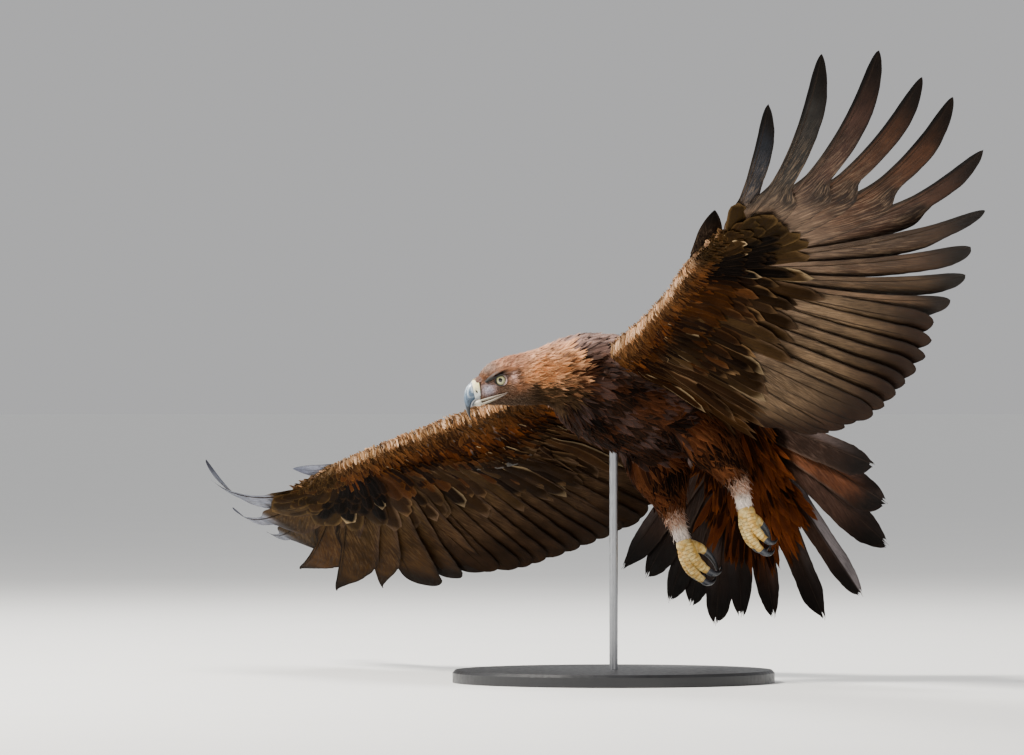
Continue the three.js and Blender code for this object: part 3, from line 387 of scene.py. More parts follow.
def grid_faces(rows, around):
    """Faces of a sheet of rows of points, each row closed round."""
    j, k = np.meshgrid(np.arange(rows - 1), np.arange(around), indexing="ij")
    after = (k + 1) % around
    quads = [j * around + k, j * around + after, (j + 1) * around + after, (j + 1) * around + k]
    return np.stack(quads, -1).reshape(-1, 4)


class Vanes:
    """Feather vanes gathered for one or more pieces."""

    def __init__(self):
        self.parts = []
        self.roots = []

    def add(self, shafts, across, out, front, rear, tint, rim, home, columns=3, thick=0.7, camber=0.06,
            low=None, ragged=0.0, seed=0, places=None):
        """Add n vanes of m points down the shaft.

        shafts, across and out are (n, m, 3), front and rear (n, m), tint and rim (n, 3) or (n, m, c, 3).
        home is (n, 2), the place of each root on the unwrapped skin. low is the tint of the lower face and
        ragged how far the barbs' ends may fall short of the tip. places are those of the m points, 0 to 1.
        """
        n, m, _ = shafts.shape
        random = np.random.default_rng(seed)
        x = np.linspace(-1, 1, columns)
        s = np.linspace(0, 1, m) if places is None else places
        wide = np.where(x < 0, rear[..., None], front[..., None]) * x
        drop = camber * (front + rear)[..., None] * x ** 2
        middle = (shafts[:, :, None] + across[:, :, None] * wide[..., None]
                  - out[:, :, None] * drop[..., None])
        if ragged:
            cut = random.uniform(0, ragged, (n, 1, columns)) * smooth(0.7, 1.02, s)[:, None]
            middle = middle - unit(np.gradient(shafts, axis=1))[:, :, None] * cut[..., None]
        half = (thick * np.ones((n, m)))[..., None] / 2 * (1 - x ** 2)
        half = half * np.minimum(1, 4 * (1 - s))[:, None]
        top = middle + out[:, :, None] * half[..., None]
        bottom = (middle - out[:, :, None] * half[..., None])[:, :, -2:0:-1]
        points = np.concatenate([top, bottom], 2)
        xs = np.concatenate([x, x[-2:0:-1]])
        around = len(xs)
        draws = random.random((n, 1, 1)) * np.ones((1, m, around))
        vane = np.stack([xs * np.ones((n, m, 1)), s[:, None] * np.ones((n, 1, around)), draws], -1)
        faces = grid_faces(m, around)
        along = shafts[:, -1] - shafts[:, 0]
        if (np.cross(across[:, 0], along) * out[:, 0]).sum() < 0:
            faces = faces[:, ::-1]
        bake = home[:, None, None] + 0.003 * np.stack([xs * 0.5, np.zeros(around)], -1)
        bake = bake + 0.003 * np.stack([np.zeros(m), s - 0.5], -1)[:, None]

        def spread(values, under):
            values = deepened(np.asarray(values, float))
            if values.ndim == 2:
                return values[:, None, None] * np.ones((1, m, around, 1))
            return np.concatenate([values, deepened(under)[:, :, -2:0:-1]], 2)

        self.parts.append((points, faces, vane, spread(tint, tint if low is None else low),
                           spread(rim, rim if low is None else low), bake))

    def pieces(self, name, material, slot, nodes=()):
        """Make the pieces, none over their limit of triangles."""
        chunks, chunk, size = [], [], 0
        for points, faces, *rest in self.parts:
            step = max(1, int(PIECE_TRIANGLES / (2 * len(faces))))
            for start in range(0, len(points), step):
                part = [values[start:start + step] for values in (points, *rest)]
                count = 2 * len(faces) * len(part[0])
                if size + count > PIECE_TRIANGLES and chunk:
                    chunks.append(chunk)
                    chunk, size = [], 0
                chunk.append((faces, part))
                size += count
        chunks.append(chunk)
        for k, chunk in enumerate(chunks):
            offset, all_faces, arrays = 0, [], [[] for _ in range(5)]
            for faces, (points, vane, tint, rim, bake) in chunk:
                n = len(points)
                each = points.shape[1] * points.shape[2]
                starts = offset + np.arange(n)[:, None, None] * each
                all_faces.append((faces[None] + starts).reshape(-1, 4))
                for store, values in zip(arrays, (points, vane, tint, rim, bake)):
                    store.append(values.reshape(n * each, -1))
                offset += n * each
            points, vane, tint, rim, bake = (np.concatenate(store) for store in arrays)
            label = name if len(chunks) == 1 else f"{name}_{k + 1}"
            attributes = {"vane": vane, "tint": tint, "rim": rim}
            piece = make_piece(label, points, np.concatenate(all_faces), material, attributes, nodes,
                               bake)
            piece.data.set_sharp_from_angle(angle=math.radians(60))


def vane_share(s, notch, finger, tip_start=0.9, tip_power=2.0, close=0.5):
    """Width of a flight feather along its length as a share of its full width."""
    root_share = VANE["root_share"]
    base = root_share + (1 - root_share) * smooth(0, VANE["root_end"], s)
    past = smooth(notch - VANE["notch_from"], notch + VANE["notch_to"], s)
    q = np.clip((s - tip_start) / (1 - tip_start), 0, 1)
    return base * lerp(1, finger, past) * np.maximum(0.02, (1 - q ** tip_power) ** close)


def toward_tip(count):
    """Places along a feather, closer together near its tip."""
    return 1 - np.linspace(1, 0, count) ** 1.5


def bent_shaft(root, along, lead, up, length, bend, sweep, power, s):
    """Points of a shaft that bends up and sweeps forwards, with its front edge's and face's directions."""

    def axes(s):
        swept = np.radians(sweep)[:, None] * s ** 1.5
        angle = np.radians(bend)[:, None] * s ** power
        swept, angle = swept[..., None], angle[..., None]
        level = along[:, None] * np.cos(swept) + lead[:, None] * np.sin(swept)
        front = lead[:, None] * np.cos(swept) - along[:, None] * np.sin(swept)
        down = level * np.cos(angle) + up[:, None] * np.sin(angle)
        return down, front, up[:, None] * np.cos(angle) - level * np.sin(angle)

    steps = 96
    path = np.cumsum(axes((np.arange(steps) + 0.5) / steps)[0] * (length / steps)[:, None, None], 1)
    path = np.concatenate([np.zeros_like(path[:, :1]), path], 1) + root[:, None]
    k = s * steps
    low = np.minimum(k.astype(int), steps - 1)
    points = lerp(path[:, low], path[:, low + 1], (k - low)[None, :, None])
    _, front, face = axes(s)
    return points, front, face


def tilted(front, face, degrees):
    """Directions across and out of vanes that are tilted about their shafts."""
    t = np.radians(degrees)
    return front * np.cos(t) + face * np.sin(t), face * np.cos(t) - front * np.sin(t)


def root_slopes(feathers, front, face):
    """How far each vane is tilted to lie flush with its neighbours' roots, in degrees."""
    order = np.argsort(feathers["place"])
    step = np.empty_like(feathers["root"])
    step[order] = np.gradient(feathers["root"][order], axis=0)
    slope = np.arctan2((step * face[:, 0]).sum(-1), np.abs((step * front[:, 0]).sum(-1)))
    return np.clip(np.degrees(slope), -VANE["steepest"], VANE["steepest"])


def wing_axes(outward, twist):
    """Directions out, back and up of a stretch of the wing, twisted about it."""
    raised = unit(np.array([0, 0, 1.0]) - outward * outward[2])
    behind = np.cross(raised, outward)
    t = math.radians(twist)
    back = behind * math.cos(t) - raised * math.sin(t)
    return {"out": outward, "back": back, "up": raised * math.cos(t) + behind * math.sin(t)}


def bone_direction(pair):
    """Direction of a bone from its sweep and lift."""
    sweep, lift = (math.radians(angle) for angle in pair)
    level = math.cos(lift)
    return np.array([level * math.sin(sweep), level * math.cos(sweep), math.sin(lift)])


def blend_axes(bones, end, share):
    """Directions between those of arm and hand."""
    other = "arm" if end == "hand" else "hand"
    weight = (1 + share) / 2
    up = unit(lerp(bones[other]["up"], bones[end]["up"], weight))
    back = unit(lerp(bones[other]["back"], bones[end]["back"], weight))
    back = unit(back - up * dot(back, up))
    return {"up": up, "back": back, "out": np.cross(back, up)}


def turned(axes, angle):
    """Along and lead of a feather turned outwards from straight back, with the face above it."""
    t = math.radians(angle)
    along = axes["back"] * math.cos(t) + axes["out"] * math.sin(t)
    lead = axes["out"] * math.cos(t) - axes["back"] * math.sin(t)
    return along, lead, axes["up"]


class Wing:
    """The bones, flesh and flight feathers of a wing, as a left one; side mirrors it at the end."""

    def __init__(self, pose):
        self.pose = pose
        self.side = np.array([1, pose["side"], 1.0])
        shoulder = SHOULDER
        elbow = shoulder + bone_direction(pose["humerus"]) * BONES["humerus"]
        wrist = elbow + bone_direction(pose["forearm"]) * BONES["forearm"]
        tip = wrist + bone_direction(pose["hand"]) * BONES["hand"]
        self.joints = (shoulder, elbow, wrist, tip)
        self.arm = wing_axes(unit(wrist - shoulder), pose["arm_twist"])
        self.hand = wing_axes(unit(tip - wrist), pose["hand_twist"])
        self.bones = {"arm": self.arm, "hand": self.hand}
        self.flesh()
        self.flights()

    def flesh(self):
        """Tables over nine places: 1 shoulder, 3 elbow, 5 wrist, 7 tip of the hand."""
        shoulder, elbow, wrist, tip = self.joints
        arm, hand, extra = self.arm, self.hand, self.pose["lead"]
        mid = blend_axes(self.bones, "hand", 0)
        first = shoulder + FLESH["lead_shoulder"]
        last = wrist - hand["back"] * (FLESH["lead_wrist"] + extra)
        line = wrist - shoulder
        places = [
            (shoulder - arm["out"] * FLESH["inside"], arm, FLESH["lead_shoulder"][0]),
            (shoulder, arm, None), (lerp(shoulder, elbow, 0.5), arm, None), (elbow, arm, None),
            (lerp(elbow, wrist, 0.5), arm, None), (wrist, mid, FLESH["lead_wrist"] + extra),
            (lerp(wrist, tip, 0.5), hand, 20 + extra / 2), (tip, hand, 13),
            (tip + hand["out"] * FLESH["beyond"], hand, 6),
        ]
        rows = []
        for k, (bone, axes, lead) in enumerate(places):
            u = float(dot(bone - shoulder, line)[0] / (line @ line))
            if lead is None:
                front = lerp(first, last, u) + axes["back"] * FLESH["sag"] * math.sin(math.pi * u)
            else:
                front = bone - axes["back"] * lead
            rear = bone + axes["back"] * (8 if k == 8 else FLESH["trail"])
            rows.append([bone, front, rear, axes["up"], axes["back"], axes["out"]])
        self.table = np.array(rows)
        lengths = np.linalg.norm(np.diff(self.table[:, 0], axis=0), axis=1)
        self.span = np.concatenate([[0], np.cumsum(lengths)])

    def flights(self):
        pose = self.pose
        shoulder, elbow, wrist, tip = self.joints
        rows = []
        for k, (length, root, width, notch, finger) in enumerate(PRIMARIES):
            axes = blend_axes(self.bones, "hand", min(1, k / 4))
            along, lead, up = turned(axes, pose["primary_turns"][k])
            pointed = k in pose["pointed"]
            notch, finger = pose["fingers"].get(k, (notch, finger))
            notch, share = NO_NOTCH if pointed else (notch, finger / width)
            rows.append((lerp(wrist, tip, root), along, lead, up, length, width, pose["primary_bends"][k],
                         pose["primary_sweeps"][k], FRONT["primary"], notch, share, 5 + 2 * root, pointed))
        for n, length in enumerate(SECONDARIES):
            u = (n + 0.5) / len(SECONDARIES)
            axes = blend_axes(self.bones, "arm", min(1, 2 * u))
            along, lead, up = turned(axes, pose["secondary_turns"][n])
            on_arm = FOREARM_SECONDARIES
            if n < on_arm:
                share = (n + 0.3) / on_arm
                root, place = lerp(wrist, elbow, share), 5 - 2 * share
            else:
                share = 0.75 * (n + 0.3 - on_arm) / (len(SECONDARIES) - on_arm)
                root, place = lerp(elbow, shoulder, share), 3 - 2 * share
            rows.append((root, along, lead, up, length, SECONDARY_WIDTH, lerp(*pose["secondary_bends"], u),
                         0, FRONT["secondary"], *NO_NOTCH, place, False))
        keys = ("root", "along", "lead", "up", "length", "width", "bend", "sweep", "front", "notch",
                "finger", "place", "pointed")
        self.feathers = {key: column.astype(float) for key, column in zip(keys, columns_of(rows))}
        order = np.argsort(self.feathers["place"])
        self.ordered = {key: values[order] for key, values in self.feathers.items()}

    def at(self, place):
        """Bone, front, rear, up, back and out at places along the wing."""
        found = spline(self.table, np.clip(place, 0, 8))
        return [found[..., k, :] for k in range(6)]

    def section(self, place):
        return np.interp(place, np.arange(9), FLESH["sections"])

    def near(self, key, place):
        return tabled(self.ordered["place"], self.ordered[key], place)

    def height(self, place, share):
        """How far the flesh, or what lies behind it, stands off the wing's plane."""
        outline = np.array(FLESH["outline"])
        inside = np.interp(share, outline[:, 0], outline[:, 1]) * self.section(place)
        behind = 5 + (self.section(place) * 0.34 - 5) * np.exp(-2.2 * np.maximum(share - 1, 0))
        return np.where(share < 1, inside, behind)


WING = {name: Wing(pose) for name, pose in WINGS.items()}


def tail_axes():
    """Directions along, left and up of the tail."""
    droop, turn, roll = (math.radians(TAIL[key]) for key in ("droop", "turn", "roll"))
    level = math.cos(droop)
    along = np.array([-level * math.cos(turn), -level * math.sin(turn), -math.sin(droop)])
    flat = unit(np.array([0, 1.0, 0]) - along * along[1])
    raised = np.cross(flat, along)
    raised = raised if raised[2] > 0 else -raised
    left = flat * math.cos(roll) + raised * math.sin(roll)
    return along, left, raised * math.cos(roll) - flat * math.sin(roll)


def tail_direction(degrees, share):
    """Along, up and lead of a tail feather; share is -1 at the right and 1 at the left."""
    along0, left, up0 = tail_axes()
    t = math.radians(degrees)
    along = unit(along0 * math.cos(t) + left * math.sin(t)
                 + up0 * (TAIL["cup"] * share ** 2 + TAIL["lean"] * share))
    up = unit(up0 - along * dot(up0, along))
    lead = np.cross(along, up)
    if (lead @ left) * share < 0:
        lead = -lead
    return along, up, lead


def leg_points(leg):
    """Joints of a leg in the bird's frame, from the hip down."""
    return {joint: np.array(leg[joint]) * [1, leg["side"], 1] for joint in ("hip", "knee", "ankle", "toes")}


def ellipse_ring(at, axes, x, half, top, bottom, count=36):
    """A section of trunk or head."""
    turn = circle(count)
    z = (top + bottom) / 2 + (top - bottom) / 2 * np.sin(turn)
    local = np.stack([np.full(count, x), half * np.cos(turn), z], -1)
    return at + local @ axes.T


def tube_rings(points, radii, hint, sides):
    """Rings round a line of points; radii are numbers, or pairs across and along the hint."""
    points = np.asarray(points, float)
    along = unit(np.gradient(points, axis=0))
    across = unit(np.cross(along, hint))
    third = np.cross(across, along)
    radii = np.array([pair if np.ndim(pair) else (pair, pair) for pair in radii], float)
    turn = circle(sides)
    return (points[:, None] + across[:, None] * (radii[:, :1] * np.cos(turn))[..., None]
            + third[:, None] * (radii[:, 1:] * np.sin(turn))[..., None])


def loft(rings):
    """Points and triangles over closed rings, closed at both ends."""
    rings = np.asarray(rings)
    rows, around, _ = rings.shape
    points = np.concatenate([rings.reshape(-1, 3), [rings[0].mean(0), rings[-1].mean(0)]])
    quads = grid_faces(rows, around)
    faces = [quads[:, [0, 1, 2]], quads[:, [0, 2, 3]]]
    k = np.arange(around)
    after = (k + 1) % around
    start, end = rows * around, rows * around + 1
    base = (rows - 1) * around
    faces.append(np.stack([after, k, np.full(around, start)], -1))
    faces.append(np.stack([base + k, base + after, np.full(around, end)], -1))
    faces = np.concatenate(faces)
    a, b, c = (points[faces[:, i]] for i in range(3))
    if (a * np.cross(b, c)).sum() - (points.mean(0) * np.cross(b - a, c - a)).sum() < 0:
        faces = faces[:, ::-1]
    return points, faces


def merged(pieces):
    """Points and faces of several lofts in one."""
    points, faces, offset = [], [], 0
    for some_points, some_faces in pieces:
        points.append(some_points)
        faces.append(some_faces + offset)
        offset += len(some_points)
    return np.concatenate(points), np.concatenate(faces)


def trunk_lofts():
    """Torso, head, and the neck that joins them and reaches into both."""
    rows = spline(TORSO, np.linspace(0, len(TORSO) - 1, 50))
    torso = [ellipse_ring(np.zeros(3), np.eye(3), *row) for row in rows]
    head_rows = spline(HEAD, np.linspace(0, len(HEAD) - 1, 40))
    head = [ellipse_ring(HEAD_AT, HEAD_AXES, *row) for row in head_rows]
    first = ellipse_ring(np.zeros(3), np.eye(3), *TORSO[0])
    last = ellipse_ring(HEAD_AT, HEAD_AXES, *HEAD[-1])
    neck = [torso[3], *(lerp(first, last, t) for t in np.linspace(0, 1, 12)),
            ellipse_ring(HEAD_AT, HEAD_AXES, *HEAD[-2])]
    return [loft(rings) for rings in (torso, head, neck)]


def wing_loft(wing):
    """The fleshy part of a wing, round its bones."""
    places = np.linspace(0, 8, 60)
    _, front, rear, up, _, _ = wing.at(places)
    outline = np.array(FLESH["outline"])
    fine = np.concatenate([[0, 0.02, 0.05], np.linspace(0.1, 1, 10)])
    rise = np.interp(fine, outline[:, 0], outline[:, 1])
    ring = [(c, h) for c, h in zip(fine, rise)] + [(c, -h) for c, h in zip(fine[:0:-1], rise[:0:-1])]
    thick = wing.section(places)
    rings = [lerp(front, rear, c) + up * (h * thick)[:, None] for c, h in ring]
    return loft(np.stack(rings, 1) * wing.side)


def tail_loft():
    """The fleshy root of the tail."""
    along, left, up = tail_axes()
    length, half, high = TAIL["core"]
    turn = circle(16)
    rings = []
    for s, size in spline(TAIL["sections"], np.linspace(0, 4, 14)):
        across = left * (half * size * np.cos(turn))[:, None] + up * (high * size * np.sin(turn))[:, None]
        rings.append(TAIL["at"] + along * s * length + across)
    return loft(rings)


def leg_lofts(leg):
    """Thigh and shank of a leg."""
    p = leg_points(leg)
    line = [p["hip"], lerp(p["hip"], p["knee"], 0.5), p["knee"], lerp(p["knee"], p["ankle"], 0.55),
            p["ankle"]]
    wide = [("hip", "knee", 0), ("hip", "knee", 0.6), ("knee", "ankle", 0.05), ("knee", "ankle", 0.62),
            ("knee", "ankle", 1)]
    radii = [[lerp(THIGH[a][k], THIGH[b][k], t) for k in (1, 0)] for a, b, t in wide]
    fine = np.linspace(0, 4, 24)
    thigh = tube_rings(spline(line, fine), spline(radii, fine), LEG_HINT, 24)
    down = unit(p["toes"] - p["ankle"])
    line = [p["ankle"] - down * 16, p["ankle"], lerp(p["ankle"], p["toes"], 0.5),
            p["toes"] - down * FOOT["above"]]
    return [loft(thigh), loft(tube_rings(line, SHANK_RADII, LEG_HINT, 16))]


def flesh_lofts():
    """The closed forms that the skin is drawn over."""
    lofts = trunk_lofts()
    lofts += [wing_loft(wing) for wing in WING.values()]
    lofts.append(tail_loft())
    for leg in LEGS.values():
        lofts += leg_lofts(leg)
    return lofts


def read_out(items, key, size, kind=np.float32):
    """A property of a mesh's items as an array with rows of a size."""
    values = np.empty(len(items) * size, kind)
    items.foreach_get(key, values)
    return values.reshape(-1, size)


def joined_skin(lofts, voxel):
    """One closed skin over all the lofts, in the bird's frame: points, normals and faces."""
    points, faces = merged(lofts)
    mesh = bpy.data.meshes.new("skin_draft")
    mesh.from_pydata((points / 1000).tolist(), [], faces.tolist())
    draft = bpy.data.objects.new("skin_draft", mesh)
    bpy.context.scene.collection.objects.link(draft)
    remesh = draft.modifiers.new("remesh", "REMESH")
    remesh.mode = "VOXEL"
    remesh.voxel_size = voxel / 1000
    soften = draft.modifiers.new("soften", "SMOOTH")
    soften.factor = 0.6
    soften.iterations = 6
    depsgraph = bpy.context.evaluated_depsgraph_get()
    baked = bpy.data.meshes.new_from_object(draft.evaluated_get(depsgraph))
    points = read_out(baked.vertices, "co", 3).astype(float) * 1000
    normals = read_out(baked.vertices, "normal", 3)
    quads = read_out(baked.polygons, "vertices", 4, np.int32)
    bpy.data.objects.remove(draft)
    bpy.data.meshes.remove(mesh)
    bpy.data.meshes.remove(baked)
    return points, normals, quads


def nearest_on_line(points, line):
    """For each point, its distance from a broken line and how far along it that is (0 a corner)."""
    line = np.asarray(line, float)
    best, place = np.full(len(points), np.inf), np.zeros(len(points))
    for k in range(len(line) - 1):
        step = line[k + 1] - line[k]
        t = np.clip(((points - line[k]) @ step) / (step @ step), 0, 1)
        gap = np.linalg.norm(points - line[k] - t[:, None] * step, axis=1)
        closer = gap < best
        best = np.where(closer, gap, best)
        place = np.where(closer, k + t, place)
    return best, place


# The body's middle line from the tail's root to the bill's root
BODY_LINE = np.array([[-186, 0, 0], [-100, 0, -5], [0, 0, -3], [85, 0, 0], [140, 0, 9],
                      *on_head([[-54, 0, -3], [-10, 0, -3], [40, 0, -12]])])
BODY_RADII = np.array([22, 62, 80, 80, 58, 40, 30, 12.0])


# Numbers of the body's parts: 0 is trunk, neck and head
LEG_PARTS, WING_PARTS, TAIL_PART = (1, 2), (3, 4), 5
LEG_RADII = [46, 40, 17, 12]
TAIL_RADII = [20, 10]
# A wing's radii count for less than the body's, so that the body's feathers reach onto its root
WING_HOLD = 0.6


def regions(points):
    """Which part of the body each point lies on, with its place along that part's line."""
    lines = [(BODY_LINE, BODY_RADII)]
    lines += [(list(leg_points(leg).values()), LEG_RADII) for leg in LEGS.values()]
    lines += [(wing.table[:, 0] * wing.side, FLESH["sections"]) for wing in WING.values()]
    lines.append(([TAIL["at"], TAIL["at"] + tail_axes()[0] * TAIL["core"][0]], TAIL_RADII))
    best = np.full(len(points), np.inf)
    part = np.zeros(len(points), int)
    place = np.zeros(len(points))
    for k, (line, radii) in enumerate(lines):
        gap, along = nearest_on_line(points, line)
        size = np.interp(along, np.arange(len(radii)), radii)
        score = gap - size * (WING_HOLD if k in WING_PARTS else 1)
        closer = score < best
        best = np.where(closer, score, best)
        part = np.where(closer, k, part)
        place = np.where(closer, along, place)
    return part, place


def new_material(name):
    """A material with a plain shader, and its tree."""
    material = bpy.data.materials.new(name)
    material.use_nodes = True
    tree = material.node_tree
    tree.nodes.clear()
    output = tree.nodes.new("ShaderNodeOutputMaterial")
    shader = tree.nodes.new("ShaderNodeBsdfPrincipled")
    tree.links.new(shader.outputs[0], output.inputs[0])
    return material, tree, shader


def link(tree, source, target):
    tree.links.new(source, target)


def object_place(tree):
    """Place in the object, for grain that doesn't depend on an unwrapping."""
    return tree.nodes.new("ShaderNodeTexCoord").outputs["Object"]


def math_node(tree, operation, first, second=None, third=None):
    """A sum, product or the like of up to three values."""
    node = tree.nodes.new("ShaderNodeMath")
    node.operation = operation
    for k, value in enumerate((first, second, third)):
        if value is None:
            continue
        if isinstance(value, (int, float)):
            node.inputs[k].default_value = value
        else:
            link(tree, value, node.inputs[k])
    return node.outputs[0]


def ramp(tree, factor, low, high, start=0.0, end=1.0):
    """A smooth range from low to high as the factor goes from start to end."""
    node = tree.nodes.new("ShaderNodeMapRange")
    node.interpolation_type = "SMOOTHSTEP"
    link(tree, factor, node.inputs["Value"])
    for key, value in (("From Min", start), ("From Max", end), ("To Min", low), ("To Max", high)):
        node.inputs[key].default_value = value
    return node.outputs["Result"]


def mixed(tree, kind, factor, first, second):
    """Two colours mixed or multiplied."""
    node = tree.nodes.new("ShaderNodeMix")
    node.data_type = "RGBA"
    node.blend_type = kind
    for key, value in ((0, factor), (6, first), (7, second)):
        if isinstance(value, (int, float)):
            node.inputs[key].default_value = value
        elif isinstance(value, (tuple, list, np.ndarray)):
            node.inputs[key].default_value = (*value, 1)
        else:
            link(tree, value, node.inputs[key])
    return node.outputs[2]


def noise(tree, vector, scale, detail=3.0, roughness=0.55):
    """Soft noise, 0 to 1."""
    node = tree.nodes.new("ShaderNodeTexNoise")
    link(tree, vector, node.inputs["Vector"])
    node.inputs["Scale"].default_value = scale
    node.inputs["Detail"].default_value = detail
    node.inputs["Roughness"].default_value = roughness
    return node.outputs[0]


def attribute(tree, name, output):
    """One of the mesh's attributes."""
    node = tree.nodes.new("ShaderNodeAttribute")
    node.attribute_name = name
    return node.outputs[output]


def scaled_vector(tree, *pairs):
    """A vector of three values, each times its scale."""
    node = tree.nodes.new("ShaderNodeCombineXYZ")
    for k, (value, scale) in enumerate(pairs):
        link(tree, math_node(tree, "MULTIPLY", value, scale), node.inputs[k])
    return node.outputs[0]


def bump(tree, shader, height, strength, distance):
    """Fine bump from a height."""
    node = tree.nodes.new("ShaderNodeBump")
    node.inputs["Strength"].default_value = strength
    node.inputs["Distance"].default_value = distance
    link(tree, height, node.inputs["Height"])
    link(tree, node.outputs[0], shader.inputs["Normal"])


def feather_material(name, streak, marbling, dark, pale, shaft, rough=0.62, gloss=0.02):
    """Vanes: their own tint and rim, streaks along the barbs, marbling, a shaft and fine bump."""
    material, tree, shader = new_material(name)
    parts = tree.nodes.new("ShaderNodeSeparateXYZ")
    link(tree, attribute(tree, "vane", "Vector"), parts.inputs[0])
    x, s, draw = parts.outputs
    side = math_node(tree, "ABSOLUTE", x)
    slant = math_node(tree, "MULTIPLY_ADD", side, -0.35, s)
    blotch = ramp(tree, noise(tree, object_place(tree), 22.0, 4.0), 0.72, 1.28, 0.3, 0.7)
    barbs = noise(tree, scaled_vector(tree, (x, 1.6), (slant, 9.0), (draw, 57.0)), 5.0, 4.0, 0.65)
    rim = math_node(tree, "MAXIMUM", ramp(tree, side, 0, 1, 0.62, 1.0), ramp(tree, s, 0, 1, 0.86, 1.0))
    base = mixed(tree, "MIX", rim, attribute(tree, "tint", "Color"), attribute(tree, "rim", "Color"))
    if marbling:
        marks = noise(tree, scaled_vector(tree, (x, 2.2), (slant, 16.0), (draw, 91.0)), 2.6, 5.0, 0.7)
        fade = ramp(tree, s, marbling, 0.0, 0.55, 0.85)
        light = math_node(tree, "MULTIPLY", ramp(tree, marks, 0, 1, 0.46, 0.66), fade)
        base = mixed(tree, "MIX", light, base, colour(pale))
        deep = math_node(tree, "MULTIPLY", ramp(tree, marks, 1, 0, 0.3, 0.48), 0.6)
        base = mixed(tree, "MIX", deep, base, colour(dark))
    tone = ramp(tree, barbs, 1 - streak, 1 + streak, 0.25, 0.75)
    base = mixed(tree, "MULTIPLY", 1.0, base, math_node(tree, "MULTIPLY", tone, blotch))
    base = mixed(tree, "MIX", ramp(tree, side, shaft, 0, 0.02, 0.09), base, colour(dark))
    link(tree, base, shader.inputs["Base Color"])
    link(tree, ramp(tree, barbs, rough - 0.1, rough + 0.15, 0.3, 0.7), shader.inputs["Roughness"])
    shader.inputs["Specular IOR Level"].default_value = gloss
    bump(tree, shader, barbs, 0.5, 0.0006)
    return material


def skin_material(name, scale, rough, spread=0.25, depth=0.0004):
    """Skin, scales or horn: the piece's own tint, varied and finely bumped."""
    material, tree, shader = new_material(name)
    grain = noise(tree, object_place(tree), scale, 5.0, 0.6)
    tone = ramp(tree, grain, 1 - spread, 1 + spread, 0.3, 0.7)
    link(tree, mixed(tree, "MULTIPLY", 1.0, attribute(tree, "tint", "Color"), tone),
         shader.inputs["Base Color"])
    link(tree, ramp(tree, grain, rough - 0.08, rough + 0.12, 0.3, 0.7), shader.inputs["Roughness"])
    bump(tree, shader, grain, 0.4, depth)
    return material


def shaft_vanes(vanes, points, across, out, size, code, s):
    """Raised shafts, of a size in mm at the root, on both faces of vanes."""
    n = len(points)
    tint = colour(code) * np.ones((n, 1))
    taper = size * (1 - 0.85 * s) * np.ones((n, 1))
    vanes.add(points, across, out, taper / 2, taper / 2, tint, tint * 0.7, homes(n, 0.05), 3,
              taper * 1.2 + 0.5, 0.0, places=s)


def flight_tones(name, wing, s, x):
    """Tints of the upper and the lower face of each flight feather, by place along and across it."""
    n, primaries = len(wing.feathers["length"]), len(PRIMARIES)
    s, x = s[None, :, None, None], x[None, None, :, None]
    near, codes = name == "left", FLIGHT_TONES[name]
    index = np.arange(n)[:, None, None, None]
    tone = [colour(code) for code in PRIMARY_TONES[name].split()] + [colour(codes["arm"])] * (n - primaries)
    tone = np.array(tone)[:, None, None]
    primary = index < primaries
    # The far wing's outer primaries turn pale blue-grey beyond their notches: a painted reflection of the
    # sky's light
    pale = (index >= primaries - PALE_PRIMARIES) & primary & (not near)
    notch = np.minimum(wing.feathers["notch"], 1)[:, None, None, None]
    beyond = np.where(pale, smooth(notch - 0.06, notch + 0.02, s), 0)
    low = between(codes["root"], tone, np.where(pale, beyond, smooth(0.25, 0.55, s)))
    end = np.where(primary, colour("17110d"), colour(codes["end"]))
    close = smooth(np.where(primary, 0.8, 0.7 if near else 0.52), 0.97, s + 0.05 * np.abs(x))
    low = lerp(low, end, close * np.where(pale, 0.35, 0.92))
    # The broad part of a finger ends in black before the notch, and its rear edge is black
    finger = (index >= 4) & primary
    lobe = smooth(notch - 0.2, notch - 0.04, s) * smooth(0.1, -0.7, x) * (s < notch + 0.03)
    low = between(low, "17120f", np.where(finger, 0.75 * lobe, 0))
    edge = smooth(0.25, 0.7, x) * np.where(finger & ~pale, 0.95 * smooth(0.2, 0.4, s), 0)
    low = between(low, "0e0c0b", edge)
    # The far wing keeps darker tones than the near one from below, as painted shade, lightened by
    # RIGHT_LIGHTER
    low = low * (1 if near else lerp(RIGHT_LIGHTER, 1, beyond))
    high = between("45372e", "251d18", smooth(0.3, 0.8, s)) * np.ones((n, 1, x.shape[2], 1))
    # Beyond the notch the upper faces take the pale tone as well: painted reflection of the sky
    high = lerp(high, between(tone, "4a4c55", close), beyond)
    return high * np.ones_like(low), low * np.ones_like(high)


